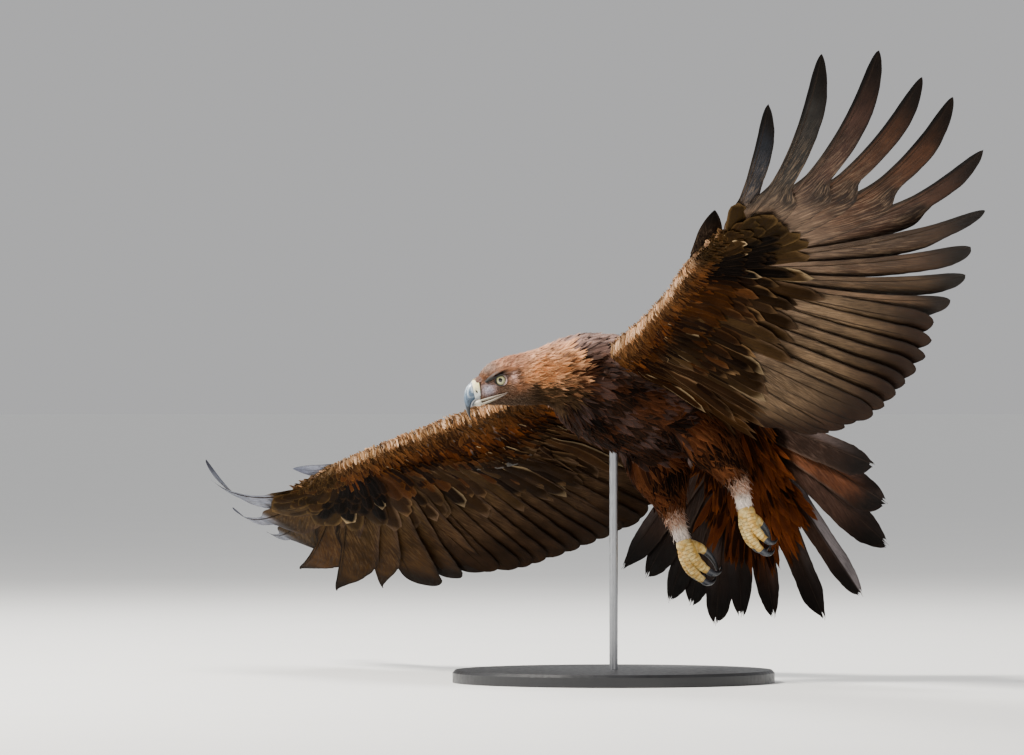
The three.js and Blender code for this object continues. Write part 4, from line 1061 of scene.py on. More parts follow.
def alula_vanes(vanes, name, wing):
    """The few stiff feathers of the thumb, before the wing's edge."""
    hand, wrist, tip = wing.hand, wing.joints[2], wing.joints[3]
    pose, codes = wing.pose["alula"], FLIGHT_TONES[name]
    rows = []
    for length, width, root, over, turn_less, lift_less in ALULA:
        along, lead, _ = turned(hand, pose["turn"] - turn_less)
        t = math.radians(pose["lift"] - lift_less)
        start = lerp(wrist, tip, root) - hand["back"] * ALULA_ROOT["before"] + hand["up"] * over
        rows.append((start, along * math.cos(t) + hand["up"] * math.sin(t), lead,
                     hand["up"] * math.cos(t) - along * math.sin(t), length * pose["stretch"], width))
    start, along, lead, up, length, width = columns_of(rows)
    n, m, columns = len(rows), 24, 7
    s = toward_tip(m)
    points, front, face = bent_shaft(start, along, lead, up, length.astype(float), np.full(n, pose["bend"]),
                                     np.zeros(n), 1.5, s)
    mirrored = [values * wing.side for values in (points, *tilted(front, face, VANE["tilt"]))]
    share = vane_share(s, *NO_NOTCH, 0.55, 1.8, 0.8) * width[:, None]
    # On the far wing these pale blue-grey tones are a painted reflection of the sky's light
    top = colour(codes["alula"]) * np.ones((n, m, columns, 1))
    fade = smooth(0.55, 1, s)[:, None, None]
    bottom = between(codes["alula_root"], codes["alula_tip"], fade) * np.ones_like(top)
    vanes.add(*mirrored, share * ALULA_ROOT["front"], share * (1 - ALULA_ROOT["front"]), top, top * 0.7,
              homes(n, 0.3, 0.2, 0.8), columns, 0.8, 0.03, bottom, 2.0, seed=8, places=s)


def flight_pieces(name, wing, material):
    """Primaries, secondaries and alula of one wing, with raised shafts."""
    f = wing.feathers
    random = np.random.default_rng(41 if name == "left" else 57)
    vanes = Vanes()
    n, count, columns = len(f["length"]), 48, 13
    s, x = toward_tip(count), np.linspace(-1, 1, columns)
    points, front, face = bent_shaft(f["root"], f["along"], f["lead"], f["up"], f["length"], f["bend"],
                                     f["sweep"], wing.pose["power"], s)
    slope = root_slopes(f, front, face) + VANE["tilt"]
    mirrored = [values * wing.side for values in (points, *tilted(front, face, slope[:, None, None]))]
    # Fingers end in a curved point, inner primaries bluntly and secondaries round
    index = np.arange(n)[:, None]
    notch, finger, pointed = (f[key][:, None] for key in ("notch", "finger", "pointed"))
    pointed = pointed > 0
    finger_like = notch < 1
    inner = (index < len(PRIMARIES)) & ~finger_like
    start = np.where(finger_like, 0.77, np.where(pointed, 0.5, np.where(inner, 0.82, 0.88)))
    close = np.where(pointed, 1.6, np.where(finger_like, 0.75, 0.55))
    behind = vane_share(s, notch, finger, start, 2.0, close)
    before = vane_share(s, np.where(pointed, 0.5, notch), np.where(pointed, 0.25, finger),
                        np.where(finger_like | inner, 0.91, 0.89))
    uneven = 1 + 0.04 * np.cumsum(random.normal(0, 0.35, (n, count)), 1) * smooth(0.2, 0.6, s)
    wide, shares = f["width"][:, None] * uneven, f["front"][:, None]
    high, low = flight_tones(name, wing, s, x)
    vary = 1 + 0.12 * random.uniform(-1, 1, (n, 1, 1, 1))
    vanes.add(*mirrored, wide * shares * before, wide * (1 - shares) * behind, high * vary,
              high * vary * 0.8, homes(n, 0.1), columns, 0.45, 0.008, low * vary, 2.0, seed=3, places=s)
    shaft_vanes(vanes, *mirrored, 3.2, FLIGHT_TONES[name]["shaft"], s)
    alula_vanes(vanes, name, wing)
    vanes.pieces(f"flights_{name}", material, "flight_feathers", (f"wing_{name}_arm", f"wing_{name}_hand"))


def tail_tones(random, s, x):
    """Tints of the upper and the lower face of each tail feather: dark, a few rusty, one half grey."""
    n = len(TAIL["turns"])
    index, s, x = np.arange(n)[:, None, None, None], s[None, :, None, None], x[None, None, :, None]
    dark = between("2c1f18", "46332a", random.random((n, 1, 1, 1)))
    dark = np.where(random.random((n, 1, 1, 1)) < 0.3, colour("51321f"), dark)
    grey = np.where(index == TAIL["grey"], smooth(-0.1, 0.15, x), 0.15 * smooth(0, 0.5, x))
    low = between(dark, "8a8486", grey)
    low = between(low, "15100e", (1 - 0.6 * grey) * smooth(0.62, 0.95, s + 0.05 * np.abs(x)))
    high = between("4a3c33", "241b17", smooth(0.6, 0.9, s)) * np.ones_like(low)
    return high, low


def tail_pieces(material):
    """The tail's fan of feathers, with raised shafts."""
    vanes = Vanes()
    n, count, columns = len(TAIL["turns"]), 44, 15
    s, x = toward_tip(count), np.linspace(-1, 1, columns)
    shares = np.linspace(-1, 1, n)
    along, up, lead = columns_of([tail_direction(*pair) for pair in zip(TAIL["turns"], shares)])
    _, left, up0 = tail_axes()
    lift = np.where(np.arange(n) == n // 2, 1.2, 0)
    root = TAIL["at"] + left * (TAIL["half"] * shares)[:, None] + up0 * lift[:, None]
    points, front, face = bent_shaft(root, along, lead, up, np.array(TAIL["lengths"], float),
                                     np.full(n, TAIL["curl"]), np.zeros(n), 1.5, s)
    across, out = tilted(front, face, VANE["tilt"])
    random = np.random.default_rng(5)
    share = vane_share(s, *NO_NOTCH, 0.8, 2.2, 0.6)[None] * np.ones((n, 1))
    share = np.maximum(share, 0.22 * smooth(0.5, 1, s))
    share = share * (1 + 0.07 * np.cumsum(random.normal(0, 0.35, (n, count)), 1) * smooth(0.3, 0.7, s))
    front_share = lerp(0.5, 0.36, np.abs(shares))[:, None]
    wide = TAIL["width"] * share
    high, low = tail_tones(random, s, x)
    vanes.add(points, across, out, wide * front_share, wide * (1 - front_share), high, high * 0.85,
              homes(n, 0.1), columns, 0.8, 0.02, low, 15.0, seed=4, places=s)
    shaft_vanes(vanes, points, across, out, 3.0, "33281f", s)
    vanes.pieces("tail_feathers", material, "flight_feathers", ("tail",))


def covert_shape(s, tip_start):
    """Width of a covert along its length as a share of its full width, round from where its tip starts."""
    q = np.clip((s - tip_start) / (1 - tip_start), 0, 1)
    return (0.3 + 0.7 * smooth(0, 0.35, s)) * np.sqrt(np.maximum(1 - q ** 2, 0.0009))


def kept_outside(points, tree, gap):
    """Points moved out so that they lie at least a gap over the skin."""
    flat = points.reshape(-1, 3)
    moved = flat.copy()
    for k, spot in enumerate(flat):
        place, normal, _, _ = tree.find_nearest(Vector(spot))
        if (Vector(spot) - place).dot(normal) < gap:
            moved[k] = place + normal * gap
    return moved.reshape(points.shape)


def wing_covert_row(vanes, wing, face, row, tree, seed):
    """A row of coverts along a wing on one face (1 is above, -1 below)."""
    random = np.random.default_rng(seed)
    start, end = np.interp(row["places"], np.arange(9), wing.span)
    count = max(2, int((end - start) / row["spacing"]))
    span = np.linspace(start, end, count) + random.uniform(-0.4, 0.4, count) * row["spacing"]
    place = np.interp(span, wing.span, np.arange(9))
    bone, front, rear, _, back, out = wing.at(place)
    share = row["share"] + random.uniform(-1, 1, count) * row["scatter"]
    root = lerp(front, rear, share[:, None])
    follow = lerp(row["follow"], 1, smooth(5, 6.2, place))[:, None]
    along = unit(lerp(back, wing.near("along", place), follow))
    plane_up = unit(wing.near("up", place))
    along = unit(along - plane_up * dot(along, plane_up))
    wander = np.radians(random.normal(0, row["wander"], count))[:, None]
    lead = np.cross(plane_up, along)
    lead = lead * np.sign(dot(lead, out))
    along, lead = (along * np.cos(wander) + lead * np.sin(wander),
                   lead * np.cos(wander) - along * np.sin(wander))
    taper = np.interp(place, [0, 1, 3, 5, 7, 8], row["taper"])
    length = row["length"] * taper * random.uniform(0.86, 1.12, count)
    width = row["width"] * np.sqrt(taper) * random.uniform(0.85, 1.12, count)
    width = width * (1 - 0.35 * smooth(5.8, 7.3, place))
    large = row["length"] > 80
    m = 9 if large else 6
    s = np.linspace(0, 1, m)
    ahead = dot(root - bone, along)[:, 0]
    reach = ahead[:, None] + length[:, None] * (s[None, :-1] + 0.5 / (m - 1))
    angle = (np.radians(wing.near("bend", place))[:, None]
             * np.clip(reach / wing.near("length", place)[:, None], 0, 1) ** wing.pose["power"])
    step = np.cos(angle)[..., None] * along[:, None] + np.sin(angle)[..., None] * plane_up[:, None]
    path = np.cumsum(step * (length / (m - 1))[:, None, None], 1)
    path = np.concatenate([np.zeros_like(path[:, :1]), path], 1)
    flat = root[:, None] + path
    there = np.interp(span[:, None] + (path * out[:, None]).sum(-1), wing.span, np.arange(9))
    _, front2, rear2, _, _, _ = wing.at(there)
    chord = rear2 - front2
    c = ((flat - front2) * chord).sum(-1) / (chord ** 2).sum(-1)
    tall = lerp(wing.height(place, share)[:, None], wing.height(there, np.clip(c, 0, 6)),
                np.minimum(1, 3 * s))
    tall = tall + lerp(*row["lift"], s) + random.uniform(-0.6, 1.2, count)[:, None] * s
    points = flat + face * plane_up[:, None] * tall[..., None]
    points = points * wing.side
    points[:, 1:] = kept_outside(points[:, 1:], tree, 0.8)
    down, face_out = faced(points, face * plane_up[:, None] * wing.side)
    lead3 = lead[:, None] * wing.side
    lead3 = unit(lead3 - down * dot(lead3, down))
    roll = math.radians(COVERT_ROLL)
    across = lead3 * math.cos(roll) + face_out * face * math.sin(roll)
    across = unit(across - down * dot(across, down))
    half = width[:, None] * covert_shape(s, row["tip"]) / 2
    tint, rim = row["colours"](points[:, 0], place, random)
    home = np.stack([0.02 + 0.96 * place / 8, 0.25 * (1 - face) + 0.02 + 0.44 * share.clip(0, 1)], -1)
    vanes.add(points, across, face_out, half, half, tint, rim, home, 5 if large else 3, 0.6, 0.08,
              ragged=0.04 * row["length"], seed=seed)
    vanes.roots.append((points[:, 1], tint))


def zone_colours(first, second, rim, size=30, cream=0.0, black=None, seed=1, olive=False):
    """Colours of a row: two tints in patches, a rim, a share of feathers with cream ends, and a stretch of
    the wing where feathers are almost black."""

    def pick(points, place, random):
        n = len(points)
        amount = smooth(0.3, 0.7, patchy(points, size, seed) + random.normal(0, 0.08, n))[:, None]
        tint = between(first, second, amount)
        edge = between(rim, tint, 0.35 + 0.3 * random.random((n, 1)))
        if olive:
            outer = 0.8 * smooth(5.3, 6.0, place)[:, None]
            tint = between(tint, "2c2214", outer)
            edge = between(edge, "4a3b24", outer)
        if black:
            start, end = black
            dark = smooth(start - 0.2, start + 0.1, place) * (1 - smooth(end - 0.1, end + 0.2, place))
            tint = between(tint, "0d0a08", 0.95 * dark[:, None])
            edge = between(edge, "1e150f", 0.8 * dark[:, None])
        chosen = (random.random(n) < cream)[:, None]
        edge = np.where(chosen, colour("8a7a64"), edge)
        vary = np.clip(1 + 0.16 * random.normal(0, 1, (n, 1)), 0.55, 1.6)
        return tint * vary, edge * np.clip(vary, 0.7, 1.4)
    return pick


# Rows of wing coverts from the greater ones forwards: share of the chord where they grow, spacing,
# length, width, two tints, rim, share with cream ends and the stretch where they are almost black
UNDER_ROWS = [
    (0.82, 19, 146, 44, "413221", "2a1e12", "6a5848", 0.08, None),
    (0.74, 17, 112, 36, "33261a", "1d140c", "765f46", 0.1, (5.3, 6.5)),
    (0.65, 14, 86, 29, "2b1d12", "432b18", "5f4630", 0.07, (5.1, 6.4)),
    (0.56, 12, 64, 23, "38220f", "1c120c", "5c3c1c", 0.04, (5.0, 6.2)),
    (0.47, 10.5, 50, 18, "4a2b14", "22150c", "64401e", 0.05, (4.95, 5.4)),
    (0.39, 9, 40, 14, "522f16", "291810", "6c4520", 0.03, (4.95, 5.25)),
    (0.31, 8, 33, 11, "54331b", "2d1b10", "704a28", 0.0, (4.95, 5.2)),
    (0.245, 6.5, 27, 9, "54361e", "311f13", "74502c", 0.0, None),
    (0.19, 5.6, 22, 7.4, "52361f", "332215", "725030", 0.0, None),
    (0.14, 5, 18.5, 6.4, "523821", "342417", "745438", 0.0, None),
    (0.095, 4.4, 16, 5.6, "523a24", "38281a", "7a5c40", 0.0, None),
    (0.055, 4, 13.5, 5, "583f2a", "3f2d1e", "866648", 0.0, None),
    (0.02, 3.6, 11.5, 4.5, "6e5038", "503a28", "a88462", 0.0, None),
    # These two foremost rows are pale: a painted highlight along the wing's lit leading edge
    (-0.01, 3.3, 10, 4, "94745a", "72583e", "ccb094", 0.0, None),
    (-0.03, 3.2, 9, 4, "ac927c", "88705a", "e0cab2", 0.0, None),
]
OVER_ROWS = [
    (0.82, 20, 140, 50, "3a2c24", "4b3a2e", "7d6850", 0.0, None),
    (0.74, 17, 108, 40, "46362b", "5c4735", "8f7656", 0.0, None),
    (0.64, 14, 82, 31, "5b4635", "7a6248", "a58c68", 0.0, None),
    (0.54, 12, 60, 24, "4b392d", "6b543e", "97805f", 0.0, None),
    (0.45, 10.5, 48, 19, "43332a", "5d4838", "8a7050", 0.0, None),
    (0.36, 9.5, 40, 16, "43332a", "5a4536", "8a7050", 0.0, None),
    (0.28, 8.5, 33, 13.5, "4a382c", "604a38", "8f7452", 0.0, None),
    (0.2, 7.5, 28, 11.5, "523e30", "6a513c", "967a58", 0.0, None),
    (0.12, 7, 23, 10, "5c4636", "745a44", "a08463", 0.0, None),
    (0.05, 6.5, 19, 9, "6b5240", "84694f", "ac9272", 0.0, None),
    (-0.01, 6, 15, 8, "7a6150", "8f7560", "b69c80", 0.0, None),
]
# Long feathers at the wing's root, as rows of their own: face, share of the chord, places along the wing,
# spacing, length, width, two tints, rim and share with cream ends
ROOT_ROWS = [
    (-1, 0.95, (0.2, 2.3), 13, 172, 27, "2a1d12", "3d2b1a", "6c5844", 0.1),
    (-1, 0.72, (0.2, 2.0), 12, 132, 24, "22160e", "352313", "5c4834", 0.06),
    (1, 0.92, (0.0, 2.2), 17, 138, 42, "33281f", "43352b", "6e5b48", 0.0),
    (1, 0.66, (0.0, 2.0), 16, 104, 38, "3a2d25", "4d3d33", "7a6550", 0.0),
]


def covert_row(face, k, share, spacing, length, width, first, second, rim, cream, black):
    """How a row of coverts lies: small ones are the looser and the flatter."""
    row = {"share": share, "spacing": spacing, "length": length, "width": width, "taper": COVERT_TAPER}
    small = length < 60
    if small:
        row |= {"places": (0.5, 7.9), "scatter": 0.045, "wander": 20 if length < 30 else 12,
                "follow": 0.65, "tip": 0.5, "lift": (-1.2, 0.8) if length < 20 else (-1.5, 2.2)}
    else:
        row |= {"places": (1.0, 7.6), "scatter": 0.02, "wander": 4, "follow": 1.0, "tip": 0.68,
                "lift": (-1.0 + 0.6 * k, 2.0 + 1.2 * k)}
    row["colours"] = zone_colours(first, second, rim, 26 if small else 60, cream, black, k + 1, face < 0)
    return row


def root_row(k, share, places, spacing, length, width, first, second, rim, cream):
    """How a row of the long feathers at the wing's root lies."""
    return {
        "share": share, "places": places, "spacing": spacing, "length": length, "width": width,
        "taper": [1, 1, 0.8, 0.7, 0.7, 0.7], "scatter": 0.08, "wander": 7, "follow": 1.0, "tip": 0.5,
        "lift": (2, 9), "colours": zone_colours(first, second, rim, 50, cream, None, k + 4),
    }


def wing_coverts(name, wing, material, tree):
    """Coverts of both faces, with the long feathers at the root; returns their roots and tints."""
    found = []
    for face, label, rows in ((-1, "under", UNDER_ROWS), (1, "over", OVER_ROWS)):
        vanes = Vanes()
        seed = (100 if face > 0 else 200) + (50 if name == "right" else 0)
        for k, values in enumerate(rows):
            wing_covert_row(vanes, wing, face, covert_row(face, k, *values), tree, seed + k)
        for k, (side, *values) in enumerate(ROOT_ROWS):
            if side == face:
                wing_covert_row(vanes, wing, face, root_row(k, *values), tree, seed + 30 + k)
        vanes.pieces(f"coverts_{label}_{name}", material, "flight_feathers",
                     (f"wing_{name}_arm", f"wing_{name}_hand"))
        found += vanes.roots
    return found


# Tail coverts: face, how many, lengths, width, where along the tail they grow, two tints and rim
TAIL_COVERTS = [
    (-1, 560, (70, 132), 11.5, (-34, 124), "5c341e", "26160e", "74461f"),
    (1, 110, (60, 105), 26, (-34, 74), "3a2d25", "4d3e34", "70604c"),
]


def tail_coverts(material, tree):
    """Shaggy coverts over and under the tail's root, the outer ones starting nearest to the body."""
    vanes = Vanes()
    along0, left, up0 = tail_axes()
    random = np.random.default_rng(31)
    for face, count, lengths, wide, reach, first, second, rim in TAIL_COVERTS:
        start = np.sort(random.uniform(*reach, count))[::-1]
        share = random.uniform(-1, 1, count)
        turn = share * 46 + random.normal(0, 7, count)
        along, up, lead = columns_of([tail_direction(*pair) for pair in zip(turn, share)])
        length = random.uniform(*lengths, count) * lerp(1, 0.85, np.abs(share))
        off = np.interp(start, [-34, 74], [17, 5]) * np.sqrt(1 - 0.6 * share ** 2)
        spread = share * np.interp(start, [-34, 74, 104], [22, 34, 50])
        root = TAIL["at"] + along0 * start[:, None] + left * spread[:, None] + up0 * (face * off)[:, None]
        s = np.linspace(0, 1, 8)
        rise = face * (3 + off * 0.55 + random.uniform(-1, 6, count))
        points = (root[:, None] + along[:, None] * (length[:, None] * s)[..., None]
                  + up0 * (rise[:, None] * np.sin(s * 2.2))[..., None])
        before = points.copy()
        points[:, 1:] = kept_outside(points[:, 1:], tree, 0.8)
        # Feathers whose ends would be pushed aside by a leg are left out
        free = np.linalg.norm(points - before, axis=-1)[:, 4:].max(1) < 9
        count = int(free.sum())
        points, up, lead, start, share = (values[free] for values in (points, up, lead, start, share))
        down, out = faced(points, up[:, None] * face)
        across = unit(lead[:, None] - down * dot(lead[:, None], down))
        half = wide * random.uniform(0.75, 1.2, (count, 1)) * covert_shape(s, 0.5)[None] / 2
        tint, edge = zone_colours(first, second, rim, 42, 0.0, None, 6 + face)(points[:, 0], start, random)
        home = np.stack([0.5 + 0.4 * share, 0.3 - 0.2 * face + start / 900], -1)
        vanes.add(points, across, out, half, half, tint, edge, home, 5, 0.6, 0.1, ragged=14.0, seed=count)
        vanes.roots.append((points[:, 1], tint))
    vanes.pieces("tail_coverts", material, "flight_feathers", ("tail",))
    return vanes.roots


# Sizes of the body's feathers along the middle line: places, then length and width above and below
BODY_SIZES = {
    "places": [0, 1, 2, 3, 3.8, 4.3, 5, 5.6, 6, 6.5, 7],
    "back": ([46, 50, 52, 50, 44, 32, 22, 15, 10, 7, 5], [17, 18, 18, 17, 13, 8, 4.8, 3.8, 3.2, 2.6, 2]),
    "belly": ([44, 42, 40, 38, 33, 26, 18, 13, 9, 6, 4.5],
              [10, 10, 9.5, 9.5, 8.5, 6.8, 5, 4, 3.2, 2.4, 1.8]),
}
# The same along the legs: places, length and width
LEG_SIZES = ([0, 1, 1.6, 2.1, 3], [46, 44, 30, 14, 10], [8, 7, 5, 3.6, 2.8])
# Depth of the coat at places along each part
COAT_DEPTH = {
    "body": ([0, 4, 5, 6, 6.6, 7], [6, 7, 6.5, 3.2, 2, 1.0]), "leg": ([0, 1.5, 2.2, 3], [6, 6, 2.2, 1.6]),
    "wing": ([0, 1.5, 3, 7], [6, 4, 3, 1.5]), "tail": 3,
}


def coat_depth(part, place):
    """How deep the skin lies under the coat's surface."""
    depth = np.interp(place, *COAT_DEPTH["body"])
    depth = np.where(np.isin(part, LEG_PARTS), np.interp(place, *COAT_DEPTH["leg"]), depth)
    depth = np.where(np.isin(part, WING_PARTS), np.interp(place, *COAT_DEPTH["wing"]), depth)
    return np.where(part == TAIL_PART, COAT_DEPTH["tail"], depth)


def near_spot(local, spot, sizes):
    """1 at a spot of either side of the head, 0 away from it."""
    mirrored = np.stack([local[:, 0], np.abs(local[:, 1]), local[:, 2]], -1)
    return np.exp(-(((mirrored - spot) / sizes) ** 2).sum(-1))[:, None]


def body_colours(points, part, place, height, random):
    """Tint and rim of each body feather from where it grows."""
    n = len(points)
    noisy = random.normal(0, 0.1, n)
    up = smooth(-0.1, 0.7, height + noisy)[:, None]
    dark = patches("15100d", "2e221b", points, 60, 3)
    rusty = smooth(0.45, 0.95, patchy(points, 46, 8) + 0.6 * noisy)[:, None]
    belly = between(dark, "553522", rusty * 0.65)
    mauve = smooth(0.55, 0.95, patchy(points, 36, 5) + 0.6 * noisy)[:, None]
    belly = between(belly, "4a3d3a", mauve * 0.7)
    mantle = patches("4b3c36", "77665f", points, 40, 4)
    mantle = between(mantle, "2a211e", smooth(0.55, 0.75, patchy(points, 34, 6) + noisy)[:, None])
    nape = 0.65 * smooth(3.3, 3.9, place + 0.4 * (patchy(points, 26, 9) - 0.5))[:, None]
    mantle = between(mantle, "917c76", nape)
    tint = lerp(belly, mantle, up)
    rim = lerp(between(belly, "7a5038", 0.22), between(mantle, "b3a298", 0.4), up)
    # The neck turns golden above and stays dark below, with a jagged edge
    ragged = place + 0.35 * (patchy(points, 22, 19) - 0.5) + 1.5 * noisy
    neck = smooth(4.3, 4.55, ragged)[:, None]
    gold = patches("a4714f", "c4987a", points, 18, 11)
    gold = between(gold, "7c4f38", smooth(0.55, 0.9, patchy(points, 11, 12) + noisy)[:, None] * 0.5)
    # The gold is paler where the neck faces up: a painted highlight on its lit top
    gold = between(gold, "ccaa98", smooth(0.35, 0.95, height)[:, None] * 0.6)
    throat = patches("2d241b", "4a3a2a", points, 15, 14)
    sunk = 0.4 * (1 - smooth(4.9, 5.7, place))
    above = smooth(-0.35, 0.12, height + sunk + 0.25 * (patchy(points, 20, 15) - 0.5) + noisy)[:, None]
    tint = lerp(tint, lerp(throat, gold, above), neck)
    rim = lerp(rim, between("4f3c2a", between(gold, "ecc6a0", 0.6), above), neck)
    # The head is browner, greyer in front, with bare patches about the eyes
    local = to_head(points)
    head = smooth(5.3, 5.9, place)[:, None]
    crown = patches("8a6656", "a5826e", points, 9, 13)
    crown = between(crown, "8a7a72", smooth(0, 22, local[:, :1]))
    cheek = patches("7a5640", "5a4030", points, 12, 17)
    low = between("3a2e24", cheek, smooth(-30, -12, local[:, 2:]))
    face = lerp(low, crown, smooth(4, 16, local[:, 2:]))
    face = between(face, "bcb8c2", 0.95 * near_spot(local, (25, 16, -11), (10, 10, 7)))
    # A near-black patch under the brow's front, before the eye: painted shade under the brow
    face = between(face, "120d0b", 0.97 * near_spot(local, (22, 17, 0.5), (9, 9, 4.2)))
    face = between(face, "cbaea6", 0.85 * near_spot(local, (-11, 25, 2), (4, 9, 7)))
    face = between(face, "4a4038", 0.7 * near_spot(local, (4, 22, -13), (12, 9, 4)))
    tint = lerp(tint, face, head)
    rim = lerp(rim, between(face, "cdb4a2", 0.35), head)
    leg = np.isin(part, LEG_PARTS)[:, None]
    thigh = patches("4c2c1b", "63402a", points, 24, 21)
    thigh = between(thigh, "1d130e", smooth(0.35, 0.85, patchy(points, 38, 22) + 0.5 * noisy)[:, None])
    tarsus = patches("8f6a55", "b89c8a", points, 12, 23)
    tarsus = between(tarsus, "dcd2ca", smooth(2.1, 2.5, place)[:, None])
    lower = smooth(1.35, 1.85, place + 0.3 * (patchy(points, 14, 24) - 0.5))[:, None]
    tint = np.where(leg, lerp(thigh, tarsus, lower), tint)
    rim = np.where(leg, lerp(between(thigh, "8a5c3a", 0.3), between(tarsus, "f0e8e0", 0.5), lower), rim)
    vary = np.clip(1 + 0.15 * random.normal(0, 1, (n, 1)), 0.5, 1.6)
    return tint * vary, rim * vary


def tried_points(skin_points, skin_faces, random):
    """Random points on the skin with its normals, closer together on the head and on the lower legs."""
    a, b, c, d = (skin_points[skin_faces[:, k]] for k in range(4))
    normal = np.cross(c - a, d - b) / 2
    area = np.linalg.norm(normal, axis=1)
    middle = (a + c) / 2
    dense = area * np.interp(np.linalg.norm(middle - HEAD_AT, axis=1), [50, 130], [5, 1])
    dense = dense * (1 + 3 * (middle[:, 2] < -110))
    pick = random.choice(len(skin_faces), COAT_TRIES, p=dense / dense.sum())
    u, v = random.random((2, COAT_TRIES, 1))
    return lerp(lerp(a[pick], b[pick], u), lerp(d[pick], c[pick], u), v), unit(normal[pick])


def clear_of_eyes(path):
    """Whether each feather has neither its root nor its end over an eye."""
    free = np.ones(len(path), bool)
    for side in (1, -1):
        middle, look = eye_middle(side), eye_look(side)
        offset = path - middle
        ahead = (offset @ look) > 0
        wide = np.linalg.norm(offset - (offset @ look)[..., None] * look, axis=-1)
        free &= ~(ahead & (wide < EYE["lid"] + 0.4)).any(1)
    return free


def body_coat(skin_points, skin_faces, tree, material):
    """Feathers of body, neck, head and legs, laid along the skin; returns their roots and tints."""
    random = np.random.default_rng(11)
    points, normals = tried_points(skin_points, skin_faces, random)
    part, place = regions(points)
    keep = (part < 3) | ((part < 5) & (place < 1.3))
    points, normals, part, place = (values[keep] for values in (points, normals, part, place))
    wing_near = part >= 3
    _, body_place = nearest_on_line(points, BODY_LINE)
    place = np.where(wing_near, body_place, place)
    part = np.where(wing_near, 0, part)
    centre = tabled(np.arange(len(BODY_LINE)), BODY_LINE, place)
    height = unit(points - centre)[:, 2]
    height = lerp(height, (unit(points - centre) @ HEAD_AXES)[:, 2], smooth(4.5, 5.5, place))
    up = smooth(-0.3, 0.4, height)
    places = BODY_SIZES["places"]
    length, width = (lerp(np.interp(place, places, BODY_SIZES["belly"][k]),
                          np.interp(place, places, BODY_SIZES["back"][k]), up) for k in (0, 1))
    leg = part > 0
    length = np.where(leg, np.interp(place, LEG_SIZES[0], LEG_SIZES[1]), length)
    width = np.where(leg, np.interp(place, LEG_SIZES[0], LEG_SIZES[2]), width)
    chosen = spread_out(points, np.sqrt(length * width / 15))
    points, normals, part, place, height, length, width, leg = (
        values[chosen] for values in (points, normals, part, place, height, length, width, leg))
    step = np.diff(BODY_LINE, axis=0)
    lie = -unit(tabled(np.arange(len(step)) + 0.5, step, place))
    from_bill = unit(points - on_head([36, 0, -8]))
    lie = unit(lerp(lie, from_bill, (0.55 * smooth(5.2, 6.4, place))[:, None]))
    for k, leg_pose in zip(LEG_PARTS, LEGS.values()):
        line = np.array(list(leg_points(leg_pose).values()))
        down = unit(tabled(np.arange(3) + 0.5, np.diff(line, axis=0), place))
        lie = np.where((part == k)[:, None], down, lie)
    n = len(points)
    length = length * random.uniform(0.8, 1.2, n)
    width = width * random.uniform(0.8, 1.15, n)
    wander = np.radians(random.normal(0, 1, n) * np.where(leg, 14, 11))[:, None]
    lie = unit(lie - normals * dot(lie, normals))
    lie = lie * np.cos(wander) + np.cross(normals, lie) * np.sin(wander)
    m = 5
    path, outs = drape(points, normals, lie, length, m, tree)
    free = clear_of_eyes(path)
    points, normals, part, place, height, length, width, leg, path, outs = (
        values[free] for values in (points, normals, part, place, height, length, width, leg, path, outs))
    n = len(points)
    s = np.linspace(0, 1, m)
    depth = coat_depth(part, place) * random.uniform(0.8, 1.15, n)
    stand = np.where(random.random(n) < 0.12, random.uniform(0.3, 1, n), 0) * np.where(place < 3.3, 6, 1.2)
    rise = depth[:, None] * (s ** 0.9 * 1.05 - 0.12) + stand[:, None] * s ** 2
    shafts = path + outs * rise[..., None]
    down, out = faced(shafts, outs)
    across = np.cross(out, down)
    pointed = smooth(3.7, 4.3, place) * (1 - smooth(5.9, 6.3, place))
    pointed = np.where(leg, 0.55, np.maximum(pointed, 0.3))
    shape = covert_shape(s, 0.45)[None] * np.ones((n, 1))
    shape = lerp(shape, (0.5 + 0.5 * smooth(0, 0.3, s)) * (1.02 - s ** 1.6), pointed[:, None])
    half = width[:, None] * shape / 2
    tint, rim = body_colours(points, part, place, height, random)
    around = np.arctan2(points[:, 1], points[:, 2]) / (2 * math.pi) + 0.5
    home = np.stack([0.01 + 0.98 * around, 0.01 + 0.98 * place / 7], -1)
    vanes = Vanes()
    for large in (False, True):
        some = (width > 8) == large
        vanes.add(shafts[some], across[some], out[some], half[some], half[some], tint[some], rim[some],
                  home[some], 5 if large else 3, 0.5, 0.12, ragged=8.0 if large else 1.2, seed=9)
    vanes.pieces("coat", material, "dark_plumage", BODY_NODES)
    return [(points, tint)]


def spread_out(points, radius):
    """Indices of points of which none lies within its radius of one chosen before."""
    cell = float(radius.max())
    cells = np.floor(points / cell).astype(int)
    grid, chosen = {}, []
    around = [(i, j, k) for i in (-1, 0, 1) for j in (-1, 0, 1) for k in (-1, 0, 1)]
    for index in range(len(points)):
        x, y, z = cells[index]
        px, py, pz = points[index]
        limit = radius[index] ** 2
        free = True
        for i, j, k in around:
            for qx, qy, qz in grid.get((x + i, y + j, z + k), ()):
                if (px - qx) ** 2 + (py - qy) ** 2 + (pz - qz) ** 2 < limit:
                    free = False
                    break
            if not free:
                break
        if free:
            grid.setdefault((x, y, z), []).append((px, py, pz))
            chosen.append(index)
    return np.array(chosen)


